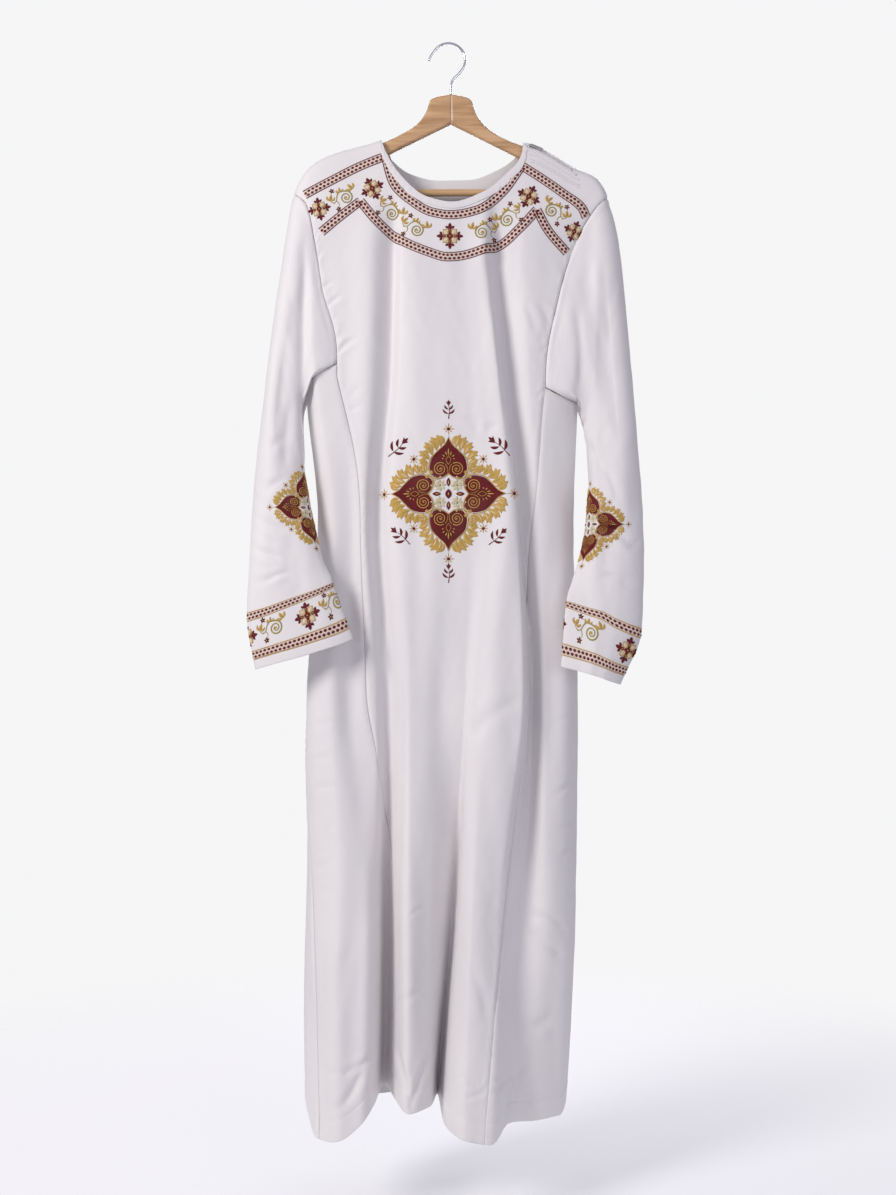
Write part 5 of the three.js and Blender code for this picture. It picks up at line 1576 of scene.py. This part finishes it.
# The bar's ends, slightly rounded, and its length between them, as x and radius.
BAR_PROFILE = [
    (-168, 4.3), (-167.4, 5.0), (-166.5, 5.3), *[(x, 5.3) for x in np.linspace(-150, 154, 9)],
    (170.5, 5.3), (171.4, 5.0), (172, 4.3),
]
HOOK_BEND, HOOK_WIRE = 25, 2          # radius of the bow, and of the wire
BOW_ANGLES = (150, -30)
# The wire beyond its bow, as x and z: the tip's flare, and the way down to the stem's foot.
HOOK_TIP = [[-29, -23], [-25, -15]]
HOOK_SHANK = [[15, -44], [6, -54], [STEM_X, -62], [STEM_X, -73.4]]


def trouser_bar():
    """A round bar: a ring at each place of its profile."""
    angle = round_angles(BAR_SIDES)
    rings = [np.stack([np.full(BAR_SIDES, float(x)), r * np.cos(angle), BAR_Z + r * np.sin(angle)], -1)
             for x, r in BAR_PROFILE]
    return stacked("trouser_bar_round", np.stack(rings), BEECH, "wood", "trouser_bar")


def hook():
    """A wire along a smooth curve through its tip, its bow and its shank."""
    bow = np.radians(np.linspace(*BOW_ANGLES, 37))
    middle = np.stack([HOOK_BEND * np.cos(bow), HOOK_BEND * (np.sin(bow) - 1) + HOOK_WIRE], -1)
    line = np.concatenate([HOOK_TIP, middle, HOOK_SHANK])
    runs = lengths(line, 0)
    at = np.linspace(0, runs[-1], 96)
    path = np.stack([Curve(runs, line[:, 0])(at), 0 * at, Curve(runs, line[:, 1])(at)], -1)
    return stacked("hook_wire", tube_rings(path, HOOK_WIRE, 16), CHROME, "chrome", "hook")


for side in ("right", "left"):
    hanger_arm(side)
trouser_bar()
hook()

# ---- embroidered pieces ----

# The yoke's borders: points on the front as x and z, and steps along each.
BORDERS = [
    ([(-94, -172), (-82, -213), (-57, -239), (-24, -258), (2, -262), (42, -255), (79, -228),
      (109, -187)], 130),
    ([(-94, -172), (-131, -187), (-174, -209), (-214, -230)], 60),
    ([(109, -187), (140, -207), (170, -228), (198, -249), (205, -262)], 60),
    ([(-189, -286), (-164, -266), (-131, -241)], 40),
    ([(-131, -241), (-106, -271), (-69, -300), (-31, -317), (-2, -325), (76, -305), (106, -281),
      (131, -254)], 140),
    ([(131, -254), (147, -283), (176, -315)], 40),
]
# Its crosses: place, turn and scale; and its vines: place, turn, and whether mirrored.
CROSSES = [
    ((2, -294), 0, 0.95), ((-113, -222), 0.5, 0.9), ((119, -234), -0.5, 0.9), ((-192, -252), 0.2, 0.85),
    ((187, -284), -0.4, 0.8),
]
VINES = [
    ((-47, -285), -0.42, False), ((-84, -259), -0.7, False), ((49, -289), 0.25, True),
    ((87, -268), 0.62, True), ((-152, -235), 0.35, False), ((153, -255), -0.5, True),
]
YOKE_VINE, CUFF_VINE, CUFF_CROSS = 0.86, 0.9, 0.96   # scales
MEDAL_AT, MEDAL_SCALE, SLEEVE_MEDAL_SCALE = (0, -676), 0.98, 0.62
MEDAL_LEVELS = {"right": -697, "left": -722}         # heights of the sleeves' medallions
MEDAL_SHIFT = 11                      # of their middles from the sleeve's inner edge
CUFF_LINE, CUFF_STATION = 2, 6.5      # the middle of a cuff's band
CUFF_BORDERS, CUFF_MIDDLE = (-7, -65), -36   # down from the band's top
CUFF_PITCH = 52                       # from a cross to the next vine

yoke = joined(
    *[checker_border(points, steps) for points, steps in BORDERS],
    *[placed(cross(), at, turn, scale) for at, turn, scale in CROSSES],
    *[placed(vine(), at, turn, YOKE_VINE, mirror) for at, turn, mirror in VINES],
)
embroider("yoke_embroidery", yoke, front_cloth, THREADS)
embroider("chest_medallion", placed(medallion(True), MEDAL_AT, 0.0, MEDAL_SCALE), front_cloth, THREADS)
for side in ("right", "left"):
    medal = placed(medallion(False), (0, 0), 0.0, SLEEVE_MEDAL_SCALE)
    medal_place = OnSleeve(sleeves[side], side, MEDAL_LEVELS[side], MEDAL_SHIFT)
    embroider(f"sleeve_medallion_{side}", medal, medal_place, THREADS)
    cuff_place = OnCuff(sleeves[side], side, CUFF_LINE, CUFF_STATION)
    half = cuff_place.length / 2
    band = joined(*[checker_border([(-half, b), (half, b)], 150, "gold") for b in CUFF_BORDERS])
    count = 2 * round(half / CUFF_PITCH)
    for k in range(count):
        at = ((k + 0.5) * 2 * half / count - half, CUFF_MIDDLE)
        if k % 2:
            band += placed(cross(), at, 0, CUFF_CROSS)
        else:
            band += placed(vine(), at, 0, CUFF_VINE, side == "left")
    embroider(f"cuff_embroidery_{side}", band, cuff_place, THREADS)

# ---- how each piece of cloth was cut ----

# Each piece, its flat size and area in metres, what it rests on, and the pieces sewn to it.
SHEETS = [
    (tunic_front, (0.48, 1.48), 0.444, ["hanger_arm_of_right", "hanger_arm_of_left"],
     ["yoke_embroidery", "chest_medallion", "zip_tape_and_teeth"]),
    (tunic_back, (0.56, 1.49), 0.649, ["hanger_arm_of_right", "hanger_arm_of_left"], []),
    (gores["right"], (0.24, 1.15), 0.173, ["tunic_front", "tunic_back"], []),
    (gores["left"], (0.24, 1.11), 0.167, ["tunic_front", "tunic_back"], []),
    (sleeve_objects["right"], (0.30, 0.72), 0.139, ["tunic_front"],
     ["sleeve_medallion_right", "cuff_embroidery_right"]),
    (sleeve_objects["left"], (0.31, 0.74), 0.149, ["tunic_front"],
     ["sleeve_medallion_left", "cuff_embroidery_left"]),
    (band_front, (0.36, 0.0105), 0.0037, ["tunic_front"], []),
    (band_back, (0.29, 0.0105), 0.0030, ["tunic_back"], []),
]
for piece, flat, area, rests, extras in SHEETS:
    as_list(rests)
    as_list(extras)

# ---- floor, light and camera ----

scene = bpy.context.scene
FLOOR_RADIUS, FLOOR_Z, FLOOR_SIDES = 1600, -1740, 96


def floor():
    """A pale round floor that fades out: its alpha falls with the distance from the middle, squared."""
    finish = Finish("pale_floor", Base_Color=(0.86, 0.86, 0.87, 1), Roughness=0.8)
    x, y, _ = finish.separate(finish.place())
    finish.give("Alpha", (1 - (x * x + y * y) * 0.42).math("MAXIMUM", 0.0))
    angle = round_angles(FLOOR_SIDES)
    points = raised(np.stack([FLOOR_RADIUS * np.cos(angle), FLOOR_RADIUS * np.sin(angle)], -1), FLOOR_Z)
    thing = make_object("floor", points, [list(range(FLOOR_SIDES))], [finish.material])


def lamp(name, at, aim, size, power, colour):
    """A round lamp of a size at a place, turned to what it lights."""
    data = bpy.data.lights.new(name, "AREA")
    data.shape, data.size, data.energy, data.color = "DISK", size, power, colour
    thing = bpy.data.objects.new(name, data)
    thing.location = at
    way = np.array(aim, float) - np.array(at, float)
    tilt = math.atan2(math.hypot(way[0], way[1]), -way[2])
    thing.rotation_euler = (tilt, 0, math.atan2(way[1], way[0]) - math.pi / 2)
    scene.collection.objects.link(thing)


def studio(light, light_strength, backdrop):
    """An even surround that lights softly, and stands as a paler backdrop behind the tunic."""
    world = bpy.data.worlds.new("studio")
    scene.world = world
    world.use_nodes = True
    tree = world.node_tree
    tree.nodes.clear()
    soft, seen = (tree.nodes.new("ShaderNodeBackground") for _ in range(2))
    soft.inputs["Color"].default_value, soft.inputs["Strength"].default_value = (*light, 1), light_strength
    seen.inputs["Color"].default_value, seen.inputs["Strength"].default_value = (*backdrop, 1), 1.0
    mix = tree.nodes.new("ShaderNodeMixShader")
    ray = tree.nodes.new("ShaderNodeLightPath")
    output = tree.nodes.new("ShaderNodeOutputWorld")
    tree.links.new(ray.outputs["Is Camera Ray"], mix.inputs[0])
    tree.links.new(soft.outputs[0], mix.inputs[1])
    tree.links.new(seen.outputs[0], mix.inputs[2])
    tree.links.new(mix.outputs[0], output.inputs[0])


floor()
lamp("key", (-2.3, -2.0, 0.5), (0, 0, -0.75), 1.2, 68, (1.0, 0.965, 0.93))
lamp("fill", (1.6, -3.0, -0.3), (0, 0, -0.9), 1.6, 15, (0.93, 0.94, 1.0))
lamp("back", (0.3, 2.6, 0.6), (0, 0, -0.7), 1.8, 60, (0.97, 0.97, 1.0))
studio((0.80, 0.775, 0.90), 0.5, (0.92, 0.92, 0.93))
scene.view_settings.view_transform = "Standard"

camera_data = bpy.data.cameras.new("front_view")
camera_data.lens = 46.19
camera_data.sensor_width = 36
camera_data.sensor_fit = "AUTO"
camera = bpy.data.objects.new("front_view", camera_data)
camera.location = (-0.00075, -2.3, -0.829)
camera.rotation_euler = (math.pi / 2, 0, 0)
scene.collection.objects.link(camera)
scene.camera = camera
